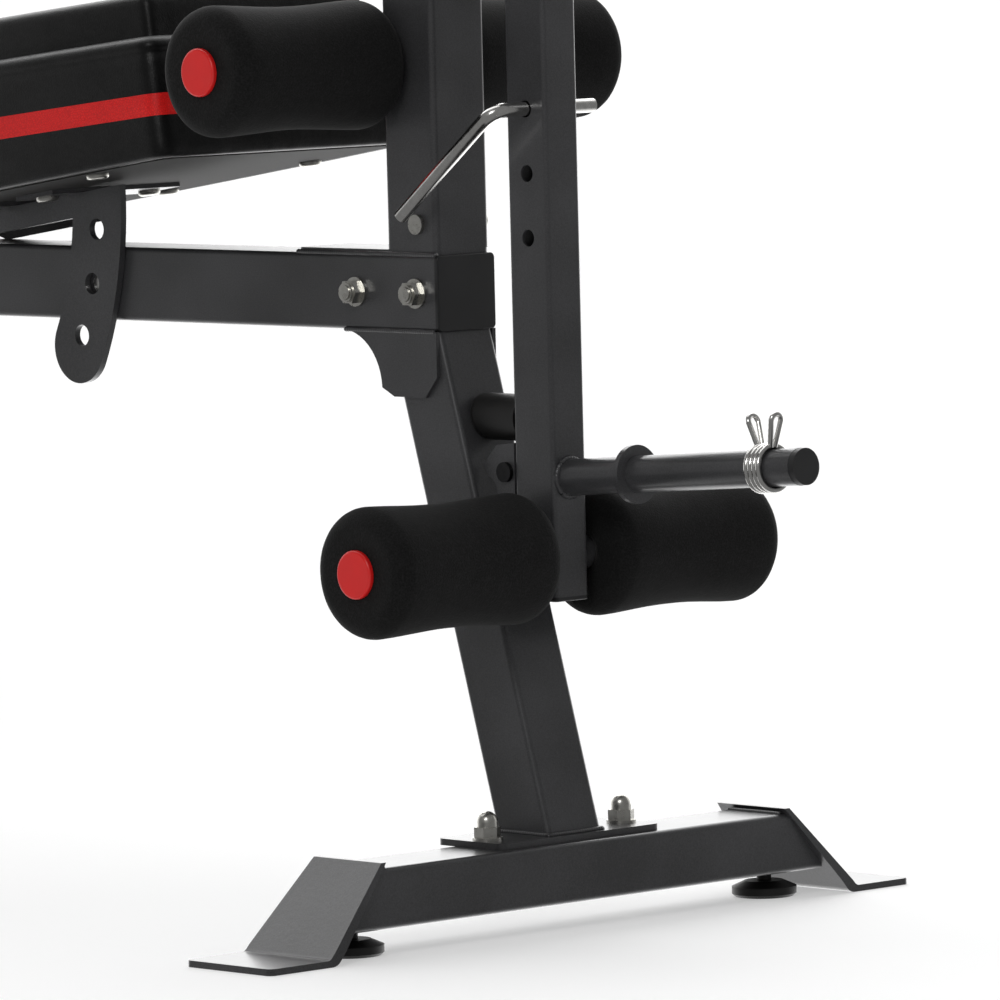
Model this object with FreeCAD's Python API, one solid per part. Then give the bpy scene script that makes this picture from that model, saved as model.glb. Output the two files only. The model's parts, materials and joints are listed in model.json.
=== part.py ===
import FreeCAD, Part
import math
import os

# Adjustable weight bench with a leg developer.
# Frame: +X along the bench towards the leg developer, +Y across it, +Z up, millimetres.
# The pieces are worked out from the middle of the front crossbar, on the floor. Before they are
# saved they all move along X together, so that the origin ends up below the middle of the bench.
# Left is -Y and right is +Y, as seen from the leg developer's end.

V = FreeCAD.Vector
X_AXIS = V(1, 0, 0)
Y_AXIS = V(0, 1, 0)
Z_AXIS = V(0, 0, 1)

# ---------------------------------------------------------------- driving dimensions

# Floor frames: one crossbar at each end of the bench.
bar_depth = 56.0
bar_height = 41.0
bar_top = 59.0
bar_top_half_length = 190.0
bar_wall = 2.0

# Bent end plates that close the crossbars and stand on the floor.
plate_thickness = 4.5
plate_top_width = 66.0
plate_fold_width = 84.0
plate_setback = 4.0
plate_lip = 4.0
plate_spread = 56.0
flange_length = 55.0
plate_corner = 5.0
fold_radius = 5.0

# Screw-in rubber feet.
foot_y = 195.0
foot_radius = 22.5
foot_stem_radius = 5.0
foot_pad_height = 11.0
foot_stem_length = 31.0
foot_stem_clearance = 0.1

# Posts.
post_size = 50.0
post_wall = 2.0
post_corner = 4.0
base_plate_thickness = 4.5
base_plate_length = 150.0
base_plate_depth = 64.0
base_plate_corner = 6.0
post_base_setback = 10.7
post_lean = 96.3
base_bolt_y = 63.0
base_bolt_setback = 5.0

# Main beam.
beam_extra_width = 4.0
beam_height = 52.0
beam_bottom = 402.0
beam_length = 1021.0
beam_overhang = 28.0
beam_wall = 2.0
beam_corner = 3.5
cap_thickness = 3.0
cap_plug_depth = 9.0
cap_plug_clearance = 0.2
gusset_thickness = 3.0
gusset_drop = 45.0
gusset_setback = 2.0
gusset_top_length = 91.0
gusset_foot_length = 55.0
gusset_chamfer = 12.0
gusset_shoulder = 6.0
gusset_hollow = 7.0
gusset_heel = 14.0
beam_bolt_radius = 5.0
beam_bolt_pitch = 60.0
beam_bolt_inset = 21.5

# Upper post, its foot and the bar of the upper rollers.
upper_post_setback = 2.5
upper_post_height = 246.0
foot_plate_thickness = 3.5
foot_plate_length = 140.0
stub_height = 60.0
stub_clearance = 0.2
foot_plate_corner = 5.0
cross_bolt_height = 21.0
cross_bolt_inset = 18.0
roller_bar_radius = 12.0
roller_bar_wall = 1.6
saddle_half_width = 18.0
saddle_half_height = 9.0
upper_bar_height = 130.0

# Foam rollers.
roller_gap = 2.6
roller_length = 152.0
roller_radius = 44.5
roller_waist = 42.5
roller_rounding = 13.0
roller_bore_clearance = 0.35
roller_cap_radius = 16.4
roller_cap_thickness = 3.5
roller_cap_rounding = 1.8
roller_plug_clearance = 0.2
roller_plug_depth = 14.0
roller_end_play = 0.5

# Leg developer arm.
arm_x = -1.0
arm_depth = 38.0
arm_width = 31.0
arm_wall = 2.0
arm_corner = 3.0
arm_pivot_rise = 210.0
arm_bottom = 224.5
arm_above_pivot = 20.0
arm_hole_radius = 5.7
arm_hole_pitch = 43.5
arm_pin_drop = 110.0
bracket_thickness = 4.0
bracket_gap = 1.0
bracket_half_height = 27.0
pivot_bolt_radius = 6.0
pivot_clearance = 0.05
sleeve_wall = 3.0
lower_bar_rise = 27.5

# Weight post of the arm, with its stop disc and spring collar.
weight_post_radius = 12.5
weight_post_wall = 2.0
weight_post_rise = 80.5
weight_post_tilt = 4.0
weight_post_length = 224.0
weight_stop_radius = 19.8
weight_stop_at = 62.0
weight_stop_thickness = 4.0
weight_cap_thickness = 5.0
weight_cap_step = 0.2
weight_plug_clearance = 0.2
weight_plug_depth = 15.0
weight_root_overlap = 10.0
collar_at = 183.0
collar_wire_radius = 1.9
collar_clearance = 0.5
collar_coils = 4
collar_grip_height = 22.0

# Bumper and hook plate behind the arm.
bumper_radius = 16.0
bumper_drop = 58.0
bumper_rounding = 5.0
bumper_gap = 0.6
hook_thickness = 4.0
hook_gap = 4.4
hook_nose_drop = 16.0
hook_top_drop = 74.0
hook_tip_drop = 23.0
hook_hole_inset = 8.0
hook_hole_drop = 20.0
hook_height = 35.0

# Bent locking pin of the arm.
l_pin_radius = 4.8
l_pin_bend_radius = 11.0
l_pin_handle_y = -46.0
l_pin_handle_length = 118.0
l_pin_handle_angle = 38.0
l_pin_stub = 32.0

# Seat, hinged behind itself on ears that stand on the beam.
seat_hinge_setback = 584.0
hinge_rise = 32.5
seat_tilt = 8.3
seat_reach = 416.0
seat_front_rise = 37.0
seat_length = 356.0
seat_width = 262.0
seat_front_width = 250.0
seat_lower_height = 86.0
seat_upper_height = 36.0
pad_upper_inset = 24.0
seat_corner = 13.0
back_corner = 30.0
pad_bulge = 7.0
board_thickness = 12.0
board_inset = 14.0

# Side plates of the seat: the left one ends in a bar with the angle holes.
side_plate_thickness = 5.0
side_plate_gap = 1.0
side_rail_height = 17.0
lug_radius = 13.0
seat_pin_radius_on_arc = 240.0
seat_hole_radius = 7.6
seat_hole_pitch = 39.2
tail_width = 52.0
tail_above = 40.0
tail_below = 9.0
right_rail_setback = 66.0
cross_plate_thickness = 3.0
cross_plate_width = 40.0
plate_half_span = 95.0
seat_plate_half_span = 60.0
plate_bolt_inset = 12.0
board_screw_at = (98.0, 253.0)
board_screw_y = 100.0

# Locking pins that pass through the beam into the angle plates.
lock_pin_radius = 6.0
lock_pin_clearance = 0.05
lock_sleeve_wall = 3.0
lock_travel = 13.0
lock_tip_gap = 0.35
lock_sleeve_proud = 8.0
knob_gap = 1.5
knob_rounding = 4.0
knob_groove_radius = 5.0
knob_groove_offset = 3.0
knob_radius = 19.0
knob_length = 30.0
knob_shaft = 34.0

# Hinge ears on the beam.
ear_thickness = 4.0
ear_inset = 0.5
ear_lug_radius = 13.0
hinge_bolt_radius = 5.0

# Backrest.
hinge_spacing = 42.0
back_incline = 30.0
back_length = 700.0
back_width = 262.0
back_head_width = 236.0
back_lower_height = 46.0
back_upper_height = 24.0
back_pad_lift = 20.0
back_pad_start = 10.0
back_rail_length = 470.0
back_rail_size = 18.0
back_rail_wall = 1.5
back_rail_start = 12.0
back_rail_corner = 2.5
back_plate_near = 110.0
back_plate_far_inset = 40.0
back_pin_radius_on_arc = 84.0
back_hole_radius = 6.6
back_hole_step = 15.0
back_hole_count = 6
quadrant_margin = 14.0

# Fasteners.
bolt_radius = 4.0
bolt_clearance = 0.1
nut_across = 13.0
nut_height = 7.0
acorn_across = 16.0
acorn_height = 7.0
acorn_collar = 3.4
acorn_radius = 7.2
washer_radius = 10.2
carriage_head_radius = 8.0
round_head_radius = 6.8
round_head_height = 3.0
beam_head_across = 16.0
beam_head_height = 6.0
beam_bolt_proud = 3.0
flange_nut_across = 15.0
flange_collar_radius = 6.6
flange_collar_height = 2.0
washer_height = 2.0

# ---------------------------------------------------------------- sizes that follow

bar_bottom = bar_top - bar_height
base_plate_top = bar_top + base_plate_thickness
beam_top = beam_bottom + beam_height
beam_mid_z = beam_bottom + beam_height / 2
beam_front_x = beam_overhang - post_lean - post_base_setback
beam_rear_x = beam_front_x - beam_length
beam_width = post_size + beam_extra_width
beam_side = beam_width / 2
rear_bar_x = beam_rear_x + beam_front_x
post_half = post_size / 2
lean_angle = math.atan2(post_lean, beam_bottom - base_plate_top)
upper_post_front_x = beam_front_x - upper_post_setback
upper_post_x = upper_post_front_x - post_half
cross_bolt_x = upper_post_front_x - cross_bolt_inset
upper_post_bottom = beam_top + foot_plate_thickness
upper_post_top = upper_post_bottom + upper_post_height
upper_bar_x = upper_post_front_x - post_size - roller_bar_radius
upper_bar_z = beam_top + upper_bar_height
arm_front = arm_x + arm_depth / 2
arm_back = arm_x - arm_depth / 2
arm_side = arm_width / 2
arm_pivot_z = beam_top + arm_pivot_rise
arm_pin_z = arm_pivot_z - arm_pin_drop
lower_bar_z = arm_bottom + lower_bar_rise
weight_post_z = arm_bottom + weight_post_rise
bumper_z = beam_bottom - bumper_drop
hook_top = beam_bottom - hook_top_drop
side_plate_inner = beam_side + side_plate_gap
side_plate_outer = side_plate_inner + side_plate_thickness
roller_start = post_half + roller_gap

seat_slope = math.radians(seat_tilt)
hinge_z = beam_top + hinge_rise
seat_hinge_x = beam_front_x - seat_hinge_setback
seat_front_x = seat_hinge_x + seat_reach
seat_front_z = hinge_z + seat_front_rise
back_hinge_x = seat_hinge_x - hinge_spacing
back_hinge = V(back_hinge_x, 0, hinge_z)
seat_pin_drop = hinge_z - beam_mid_z
seat_pin_x = seat_hinge_x + math.sqrt(seat_pin_radius_on_arc ** 2 - seat_pin_drop ** 2)
seat_pin_angle = math.asin(seat_pin_drop / seat_pin_radius_on_arc)
seat_hole_step = seat_hole_pitch / seat_pin_radius_on_arc
back_pin_drop = hinge_z - beam_mid_z
back_pin_x = back_hinge_x - math.sqrt(back_pin_radius_on_arc ** 2 - back_pin_drop ** 2)
back_flat_hole_angle = math.degrees(math.asin(back_pin_drop / back_pin_radius_on_arc))
cross_plate_drop = cross_plate_thickness / math.cos(seat_slope)


# ---------------------------------------------------------------- shape helpers

def box(x0, x1, y0, y1, z0, z1):
    return Part.makeBox(x1 - x0, y1 - y0, z1 - z0, V(x0, y0, z0))


def cylinder(start, axis, radius, length):
    return Part.makeCylinder(radius, length, start, axis)


def pipe(start, axis, radius, wall, length):
    return cylinder(start, axis, radius, length).cut(cylinder(start, axis, radius - wall, length))


def plate_xz(points, y0, y1):
    """A plate cut to an outline of (x, z) points, between two y planes."""
    corners = [V(x, y0, z) for x, z in points]
    face = Part.Face(Part.makePolygon(corners + corners[:1]))
    return face.extrude(V(0, y1 - y0, 0))


def plate_yz(points, x0, x1):
    """A plate cut to an outline of (y, z) points, between two x planes."""
    corners = [V(x0, y, z) for y, z in points]
    face = Part.Face(Part.makePolygon(corners + corners[:1]))
    return face.extrude(V(x1 - x0, 0, 0))


def edges_along(shape, axis):
    found = []
    for edge in shape.Edges:
        ends = [vertex.Point for vertex in edge.Vertexes]
        if len(ends) == 2:
            run = ends[1].sub(ends[0])
            if run.Length > 0 and abs(run.dot(axis)) > 0.999 * run.Length:
                found.append(edge)
    return found


def rounded_bar(x_size, y_size, length, corner):
    """A bar along +Z, centred on the Z axis."""
    bar = box(-x_size / 2, x_size / 2, -y_size / 2, y_size / 2, 0, length)
    return bar.makeFillet(corner, edges_along(bar, Z_AXIS))


def square_tube(x_size, y_size, length, wall, corner):
    outer = rounded_bar(x_size, y_size, length, corner)
    inner = rounded_bar(x_size - 2 * wall, y_size - 2 * wall, length, max(corner - wall, 0.5))
    return outer.cut(inner)


def moved(shape, offset):
    copy = shape.copy()
    copy.translate(offset)
    return copy


def mirrored_y(shape):
    return shape.mirror(V(0, 0, 0), Y_AXIS)


def turned(shape, centre, degrees):
    """A copy turned about the Y axis through centre; positive lifts what lies towards -X."""
    copy = shape.copy()
    copy.rotate(centre, Y_AXIS, degrees)
    return copy


def hexagon(start, axis, across, height):
    corner = across / math.sqrt(3)
    points = []
    for step in range(7):
        angle = math.radians(60 * step)
        points.append(V(corner * math.cos(angle), corner * math.sin(angle), 0))
    prism = Part.Face(Part.makePolygon(points)).extrude(V(0, 0, height))
    prism.Placement = FreeCAD.Placement(start, FreeCAD.Rotation(Z_AXIS, axis))
    return prism


def group(solids):
    return Part.makeCompound(solids)


nodes = {}


def keep(name, shape):
    nodes[name] = shape


# ---------------------------------------------------------------- floor frames

def plate_inner_y(z):
    """Distance from the middle plane to an end plate's inner face, at a height."""
    top_z = bar_top + plate_lip
    top_y = bar_top_half_length - plate_thickness / 2
    floor_y = bar_top_half_length + plate_spread - plate_thickness
    return floor_y + (top_y - floor_y) * z / top_z


def crossbar(x, outward):
    """Rectangular tube along Y whose ends slope to meet the end plates."""
    top = plate_inner_y(bar_top)
    low = plate_inner_y(bar_bottom)
    outline = [(-top, bar_top), (top, bar_top), (low, bar_bottom), (-low, bar_bottom)]
    outer = plate_yz(outline, x - bar_depth / 2, x + bar_depth / 2)
    outer = outer.makeFillet(post_corner, edges_along(outer, Y_AXIS))
    half = bar_depth / 2 - bar_wall
    reach = low + 1
    hollow = box(x - half, x + half, -reach, reach, bar_bottom + bar_wall, bar_top - bar_wall)
    hollow = hollow.makeFillet(post_corner - bar_wall, edges_along(hollow, Y_AXIS))
    tube = outer.cut(hollow)
    for side in (-1, 1):
        hole = cylinder(V(x, side * foot_y, bar_bottom - 1), Z_AXIS,
                        foot_stem_radius + foot_stem_clearance, bar_wall + 2)
        bolt = cylinder(V(x - outward * base_bolt_setback, side * base_bolt_y, bar_bottom - 1), Z_AXIS,
                        bolt_radius + bolt_clearance, bar_height + 2)
        tube = tube.cut(hole).cut(bolt)
    return tube


def end_plate(x, outward, side):
    """Sloping plate with a top edge above the bar and a flange folded out on to the floor."""
    top_z = bar_top + plate_lip
    fold_y = bar_top_half_length + plate_spread
    outline = [
        (bar_top_half_length, top_z),
        (bar_top_half_length + plate_thickness / 2, top_z),
        (fold_y + plate_thickness / 2, plate_thickness),
        (fold_y + flange_length, plate_thickness),
        (fold_y + flange_length, 0),
        (fold_y - plate_thickness, 0),
        (bar_top_half_length - plate_thickness / 2, top_z),
    ]
    centre = x - outward * plate_setback
    half = plate_fold_width / 2
    sheet = plate_yz([(side * y, z) for y, z in outline], centre - half, centre + half)
    taper = (plate_fold_width - plate_top_width) / 2
    for edge in (-1, 1):
        corner = centre + edge * half
        wedge_points = [(corner, plate_thickness * 2), (corner - edge * taper, top_z),
                        (corner - edge * taper, top_z + 1), (corner + edge, top_z + 1),
                        (corner + edge, plate_thickness * 2)]
        reach = fold_y + flange_length + 1
        wedge = plate_xz(wedge_points, -reach, reach)
        sheet = sheet.cut(wedge)
    inside_fold = [edge for edge in edges_along(sheet, X_AXIS)
                   if abs(abs(edge.BoundBox.Center.y) - fold_y - plate_thickness / 2) < 0.1
                   and abs(edge.BoundBox.Center.z - plate_thickness) < 0.1]
    outside_fold = [edge for edge in edges_along(sheet, X_AXIS)
                    if abs(abs(edge.BoundBox.Center.y) - fold_y + plate_thickness) < 0.1
                    and edge.BoundBox.Center.z < 0.1]
    sheet = sheet.makeFillet(fold_radius, inside_fold)
    sheet = sheet.makeFillet(fold_radius + plate_thickness, outside_fold)
    tip_y = fold_y + flange_length
    tips = [edge for edge in edges_along(sheet, Z_AXIS) if abs(abs(edge.BoundBox.Center.y) - tip_y) < 0.1]
    return sheet.makeFillet(plate_corner, tips)


def screw_foot(x, side):
    """Domed rubber pad on a threaded stem that screws into the bottom of the crossbar."""
    centre = V(x, side * foot_y, 0)
    shoulder = foot_pad_height - 4
    profile = [V(0, 0, 0), V(foot_radius - 2, 0, 0), V(foot_radius, 0, 2), V(foot_radius, 0, shoulder),
               V(foot_radius * 0.6, 0, foot_pad_height), V(0, 0, foot_pad_height)]
    pad = Part.Face(Part.makePolygon(profile + profile[:1])).revolve(V(0, 0, 0), Z_AXIS, 360)
    stem = cylinder(V(0, 0, foot_pad_height - 1), Z_AXIS, foot_stem_radius, foot_stem_length)
    return moved(Part.makeSolid(pad.fuse(stem).Shells[0]), centre)


def leaning_post(base_x, lean):
    """Square tube that leans along X, cut level at the base plate and under the beam."""
    rise = beam_bottom - base_plate_top
    angle = math.degrees(math.atan2(lean, rise))
    over = post_size
    tube = square_tube(post_size, post_size, rise / math.cos(math.radians(angle)) + 2 * over,
                       post_wall, post_corner)
    tube.translate(V(0, 0, -over))
    tube.rotate(V(0, 0, 0), Y_AXIS, angle)
    tube.translate(V(base_x, 0, base_plate_top))
    reach = abs(lean) + 2 * post_size
    level = box(base_x - reach, base_x + reach, -post_size, post_size, base_plate_top, beam_bottom)
    return tube.common(level)


def base_plate(x, outward):
    centre = x - outward * post_base_setback
    half_depth = base_plate_depth / 2
    half_length = base_plate_length / 2
    plate = box(centre - half_depth, centre + half_depth, -half_length, half_length,
                bar_top, base_plate_top)
    plate = plate.makeFillet(base_plate_corner, edges_along(plate, Z_AXIS))
    for side in (-1, 1):
        hole = cylinder(V(x - outward * base_bolt_setback, side * base_bolt_y, bar_top - 1), Z_AXIS,
                        bolt_radius + bolt_clearance, base_plate_thickness + 2)
        plate = plate.cut(hole)
    return plate


def carriage_bolt(x, outward, side):
    """Round-headed bolt pushed up through the crossbar and the base plate."""
    place = V(x - outward * base_bolt_setback, side * base_bolt_y, bar_bottom)
    shank = cylinder(place, Z_AXIS, bolt_radius, bar_height + base_plate_thickness + acorn_height)
    head = cylinder(place, -Z_AXIS, carriage_head_radius, round_head_height)
    return shank.fuse(head)


def acorn_nut(x, outward, side):
    place = V(x - outward * base_bolt_setback, side * base_bolt_y, base_plate_top)
    washer = cylinder(place, Z_AXIS, washer_radius, washer_height)
    body = hexagon(place + Z_AXIS * washer_height, Z_AXIS, acorn_across, acorn_height)
    dome_centre = place + Z_AXIS * (washer_height + acorn_height)
    collar = cylinder(dome_centre, Z_AXIS, acorn_radius, acorn_collar)
    dome = Part.makeSphere(acorn_radius, dome_centre + Z_AXIS * acorn_collar, Z_AXIS, 0, 90)
    nut = washer.fuse(body).fuse(collar).fuse(dome)
    bore = cylinder(place - Z_AXIS, Z_AXIS, bolt_radius + bolt_clearance, acorn_height + 2)
    return nut.cut(bore)


# Each end of the bench: its name, where its crossbar is, and which way is outwards.
bench_ends = (("front", 0.0, 1), ("rear", rear_bar_x, -1))
for end, bar_x, outward in bench_ends:
    keep(end + "_crossbar", crossbar(bar_x, outward))
    keep(end + "_end_plates", group([end_plate(bar_x, outward, side) for side in (-1, 1)]))
    keep(end + "_foot_left", screw_foot(bar_x, -1))
    keep(end + "_foot_right", screw_foot(bar_x, 1))
    keep(end + "_post", leaning_post(bar_x - outward * post_base_setback, -outward * post_lean))
keep("post_base_plates", group([base_plate(x, outward) for _, x, outward in bench_ends]))
keep("carriage_bolts", group([carriage_bolt(x, outward, side)
                              for _, x, outward in bench_ends for side in (-1, 1)]))
keep("acorn_nuts", group([acorn_nut(x, outward, side)
                          for _, x, outward in bench_ends for side in (-1, 1)]))


# ---------------------------------------------------------------- main beam and gussets

def gusset(end_x, inward, side):
    """Plate beside the post, under the beam, with a hollow curve towards the middle."""
    # end_x is the beam's end; inward is -1 for the front end and +1 for the rear end.
    outer_x = end_x + inward * gusset_setback
    tip_x = outer_x + inward * gusset_top_length
    bottom = beam_bottom - gusset_drop
    near_x = outer_x + inward * gusset_foot_length
    start = V(tip_x, 0, beam_bottom)
    shoulder = V(near_x, 0, bottom + gusset_shoulder)
    middle = V((start.x + shoulder.x) / 2 - inward * gusset_hollow, 0,
               (start.z + shoulder.z) / 2 + gusset_hollow)
    curve = Part.Arc(start, middle, shoulder).toShape()
    toe = V(near_x - inward * gusset_chamfer, 0, bottom)
    heel = V(outer_x + inward * gusset_chamfer, 0, bottom)
    corner = V(outer_x, 0, bottom + gusset_heel)
    top = V(outer_x, 0, beam_bottom)
    edges = [curve, Part.makeLine(shoulder, toe), Part.makeLine(toe, heel), Part.makeLine(heel, corner),
             Part.makeLine(corner, top), Part.makeLine(top, start)]
    face = Part.Face(Part.Wire(edges))
    plate = face.extrude(V(0, gusset_thickness, 0))
    if side < 0:
        plate.translate(V(0, -post_half - gusset_thickness, 0))
    else:
        plate.translate(V(0, post_half, 0))
    return plate


def beam_bolt_places():
    places = []
    for end_x, inward in ((beam_front_x, -1), (beam_rear_x, 1)):
        for step in range(2):
            places.append(end_x + inward * (beam_bolt_inset + step * beam_bolt_pitch))
    return places


beam = square_tube(beam_height, beam_width, beam_length - 2 * cap_thickness, beam_wall, beam_corner)
beam.rotate(V(0, 0, 0), Y_AXIS, 90)
beam.translate(V(beam_rear_x + cap_thickness, 0, beam_mid_z))
for x in beam_bolt_places():
    beam = beam.cut(cylinder(V(x, -beam_width, beam_mid_z), Y_AXIS,
                             beam_bolt_radius + bolt_clearance, 2 * beam_width))
for x in (seat_pin_x, back_pin_x):
    beam = beam.cut(cylinder(V(x, -beam_width, beam_mid_z), Y_AXIS,
                             lock_pin_radius + lock_pin_clearance + lock_sleeve_wall, 2 * beam_width))
keep("main_beam", beam)
keep("post_gussets", group([gusset(end_x, inward, side)
                            for end_x, inward in ((beam_front_x, -1), (beam_rear_x, 1))
                            for side in (-1, 1)]))


def beam_bolt(x):
    """Hexagon bolt with its head on the right side of the beam."""
    length = beam_width + washer_height + nut_height + beam_bolt_proud
    shank = cylinder(V(x, beam_side, beam_mid_z), -Y_AXIS, beam_bolt_radius, length)
    flange = cylinder(V(x, beam_side, beam_mid_z), Y_AXIS, washer_radius, washer_height)
    head = hexagon(V(x, beam_side + washer_height, beam_mid_z), Y_AXIS, beam_head_across,
                   beam_head_height)
    return shank.fuse(flange).fuse(head)


def flange_nut(x):
    face = -beam_side
    flange = cylinder(V(x, face, beam_mid_z), -Y_AXIS, washer_radius, washer_height)
    body = hexagon(V(x, face - washer_height, beam_mid_z), -Y_AXIS, flange_nut_across,
                   nut_height)
    collar = cylinder(V(x, face - washer_height - nut_height, beam_mid_z), -Y_AXIS,
                      flange_collar_radius, flange_collar_height)
    bore = cylinder(V(x, face + 1, beam_mid_z), -Y_AXIS, beam_bolt_radius + bolt_clearance, 20)
    return flange.fuse(body).fuse(collar).cut(bore)


keep("beam_bolts", group([beam_bolt(x) for x in beam_bolt_places()]))
keep("flange_nuts", group([flange_nut(x) for x in beam_bolt_places()]))


def plug_cap(x_size, y_size, wall, corner):
    """Plastic cap along +Z: a flange as wide as the tube and a plug that fits inside it."""
    flange = rounded_bar(x_size, y_size, cap_thickness, corner)
    inner = 2 * (wall + cap_plug_clearance)
    plug = rounded_bar(x_size - inner, y_size - inner, cap_plug_depth, max(corner - wall, 0.5))
    plug.translate(V(0, 0, -cap_plug_depth))
    cap = flange.makeFillet(1.0, top_rim(flange, cap_thickness))
    return cap.fuse(plug)


def top_rim(shape, height):
    return [edge for edge in shape.Edges
            if abs(edge.BoundBox.ZMin - height) < 0.01 and abs(edge.BoundBox.ZMax - height) < 0.01]


front_cap = plug_cap(beam_height, beam_width, beam_wall, beam_corner)
front_cap.rotate(V(0, 0, 0), Y_AXIS, 90)
rear_cap = plug_cap(beam_height, beam_width, beam_wall, beam_corner)
rear_cap.rotate(V(0, 0, 0), Y_AXIS, -90)
post_cap = plug_cap(post_size, post_size, post_wall, post_corner)
keep("tube_caps", group([
    moved(front_cap, V(beam_front_x - cap_thickness, 0, beam_mid_z)),
    moved(rear_cap, V(beam_rear_x + cap_thickness, 0, beam_mid_z)),
    moved(post_cap, V(upper_post_x, 0, upper_post_top)),
]))


# ---------------------------------------------------------------- upper post and upper rollers

foot_plate = box(upper_post_front_x - foot_plate_length, upper_post_front_x, -post_half, post_half,
                 beam_top, upper_post_bottom)
foot_plate = foot_plate.makeFillet(foot_plate_corner, edges_along(foot_plate, Z_AXIS))
stub_size = post_size - 2 * (post_wall + stub_clearance)
stub = square_tube(stub_size, stub_size, stub_height, post_wall, post_corner - post_wall)
stub.translate(V(upper_post_x, 0, upper_post_bottom))
cross_z = beam_top + cross_bolt_height
cross_hole = cylinder(V(cross_bolt_x, -post_size, cross_z), Y_AXIS,
                      bolt_radius + bolt_clearance, 2 * post_size)
keep("upper_post_foot", foot_plate.fuse(stub).cut(cross_hole))

upper_post = square_tube(post_size, post_size, upper_post_height, post_wall, post_corner)
upper_post.translate(V(upper_post_x, 0, upper_post_bottom))
keep("upper_post", upper_post.cut(cross_hole))

bolt_head = cylinder(V(cross_bolt_x, -post_half, cross_z), -Y_AXIS, round_head_radius,
                     round_head_height)
bolt_shank = cylinder(V(cross_bolt_x, -post_half, cross_z), Y_AXIS, bolt_radius,
                      post_size + acorn_height)
bolt_nut = hexagon(V(cross_bolt_x, post_half, cross_z), Y_AXIS, acorn_across, acorn_height)
dome_centre = V(cross_bolt_x, post_half + acorn_height, cross_z)
nut_dome = Part.makeSphere(acorn_radius, dome_centre, Y_AXIS, 0, 90)
keep("upper_post_bolt", bolt_head.fuse(bolt_shank).fuse(bolt_nut).fuse(nut_dome))


def roller_bar(x, z):
    half = roller_start + roller_length + roller_end_play
    return pipe(V(x, -half, z), Y_AXIS, roller_bar_radius, roller_bar_wall, 2 * half)


def roller_cap(x, z, side):
    """Plug with a round flange that keeps the foam roller on its bar."""
    face = side * (roller_start + roller_length + roller_end_play)
    flange = cylinder(V(x, face, z), Y_AXIS * side, roller_cap_radius, roller_cap_thickness)
    rim = [edge for edge in flange.Edges
           if abs(edge.BoundBox.YMin - (face + side * roller_cap_thickness)) < 0.01
           and abs(edge.BoundBox.YMax - (face + side * roller_cap_thickness)) < 0.01]
    flange = flange.makeFillet(roller_cap_rounding, rim)
    plug_radius = roller_bar_radius - roller_bar_wall - roller_plug_clearance
    plug = cylinder(V(x, face, z), Y_AXIS * -side, plug_radius, roller_plug_depth)
    return flange.fuse(plug)


def foam_roller(x, z, side):
    """Waisted foam tube with rounded ends."""
    bore = roller_bar_radius + roller_bore_clearance
    start = roller_start
    end = start + roller_length
    soft = roller_rounding
    bend = soft * (1 - math.sqrt(0.5))
    points = [
        V(bore, start, 0), V(roller_radius - soft, start, 0),
        V(roller_radius, start + soft, 0), V(roller_radius, end - soft, 0),
        V(roller_radius - soft, end, 0), V(bore, end, 0),
    ]
    edges = [
        Part.makeLine(points[0], points[1]),
        Part.Arc(points[1], V(roller_radius - bend, start + bend, 0), points[2]).toShape(),
        Part.Arc(points[2], V(roller_waist, (start + end) / 2, 0), points[3]).toShape(),
        Part.Arc(points[3], V(roller_radius - bend, end - bend, 0), points[4]).toShape(),
        Part.makeLine(points[4], points[5]),
        Part.makeLine(points[5], points[0]),
    ]
    roller = Part.Face(Part.Wire(edges)).revolve(V(0, 0, 0), Y_AXIS, 360)
    if side < 0:
        roller = mirrored_y(roller)
    return moved(roller, V(x, 0, z))


saddle = box(upper_bar_x, upper_post_front_x - post_size, -saddle_half_width, saddle_half_width,
             upper_bar_z - saddle_half_height, upper_bar_z + saddle_half_height)
saddle = saddle.cut(cylinder(V(upper_bar_x, -saddle_half_width, upper_bar_z), Y_AXIS,
                             roller_bar_radius, 2 * saddle_half_width))
keep("upper_bar_saddle", group(saddle.Solids))
keep("upper_roller_bar", roller_bar(upper_bar_x, upper_bar_z))
keep("upper_roller_caps", group([roller_cap(upper_bar_x, upper_bar_z, side) for side in (-1, 1)]))
keep("upper_roller_left", foam_roller(upper_bar_x, upper_bar_z, -1))
keep("upper_roller_right", foam_roller(upper_bar_x, upper_bar_z, 1))


# ---------------------------------------------------------------- leg developer arm

def arm_bracket(side):
    """One of the two plates that carry the arm's pivot in front of the upper post."""
    inner = arm_side + bracket_gap
    low = arm_pivot_z - bracket_half_height
    high = arm_pivot_z + bracket_half_height
    front = arm_x + bracket_half_height * 0.8
    plate = box(upper_post_front_x, front, inner, inner + bracket_thickness, low, high)
    ends = [edge for edge in edges_along(plate, Y_AXIS) if edge.BoundBox.XMax > front - 1]
    plate = plate.makeFillet(bracket_half_height * 0.75, ends)
    bore = cylinder(V(arm_x, 0, arm_pivot_z), Y_AXIS, pivot_bolt_radius + pivot_clearance, 60)
    plate = plate.cut(bore)
    return plate if side > 0 else mirrored_y(plate)


def pivot_bolt(x, z, half_span, radius):
    """Bolt along Y through two plates, with a round head and a lock nut."""
    head = cylinder(V(x, -half_span, z), -Y_AXIS, radius * 1.75, 4)
    shank = cylinder(V(x, -half_span, z), Y_AXIS, radius, 2 * half_span + nut_height + 3)
    nut = hexagon(V(x, half_span, z), Y_AXIS, radius * 3.0, nut_height)
    return head.fuse(shank).fuse(nut)


def arm_hole_heights():
    return [arm_pin_z - step * arm_hole_pitch for step in range(3)]


bracket_outer = arm_side + bracket_gap + bracket_thickness
keep("arm_bracket_plates", group([arm_bracket(-1), arm_bracket(1)]))

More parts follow.
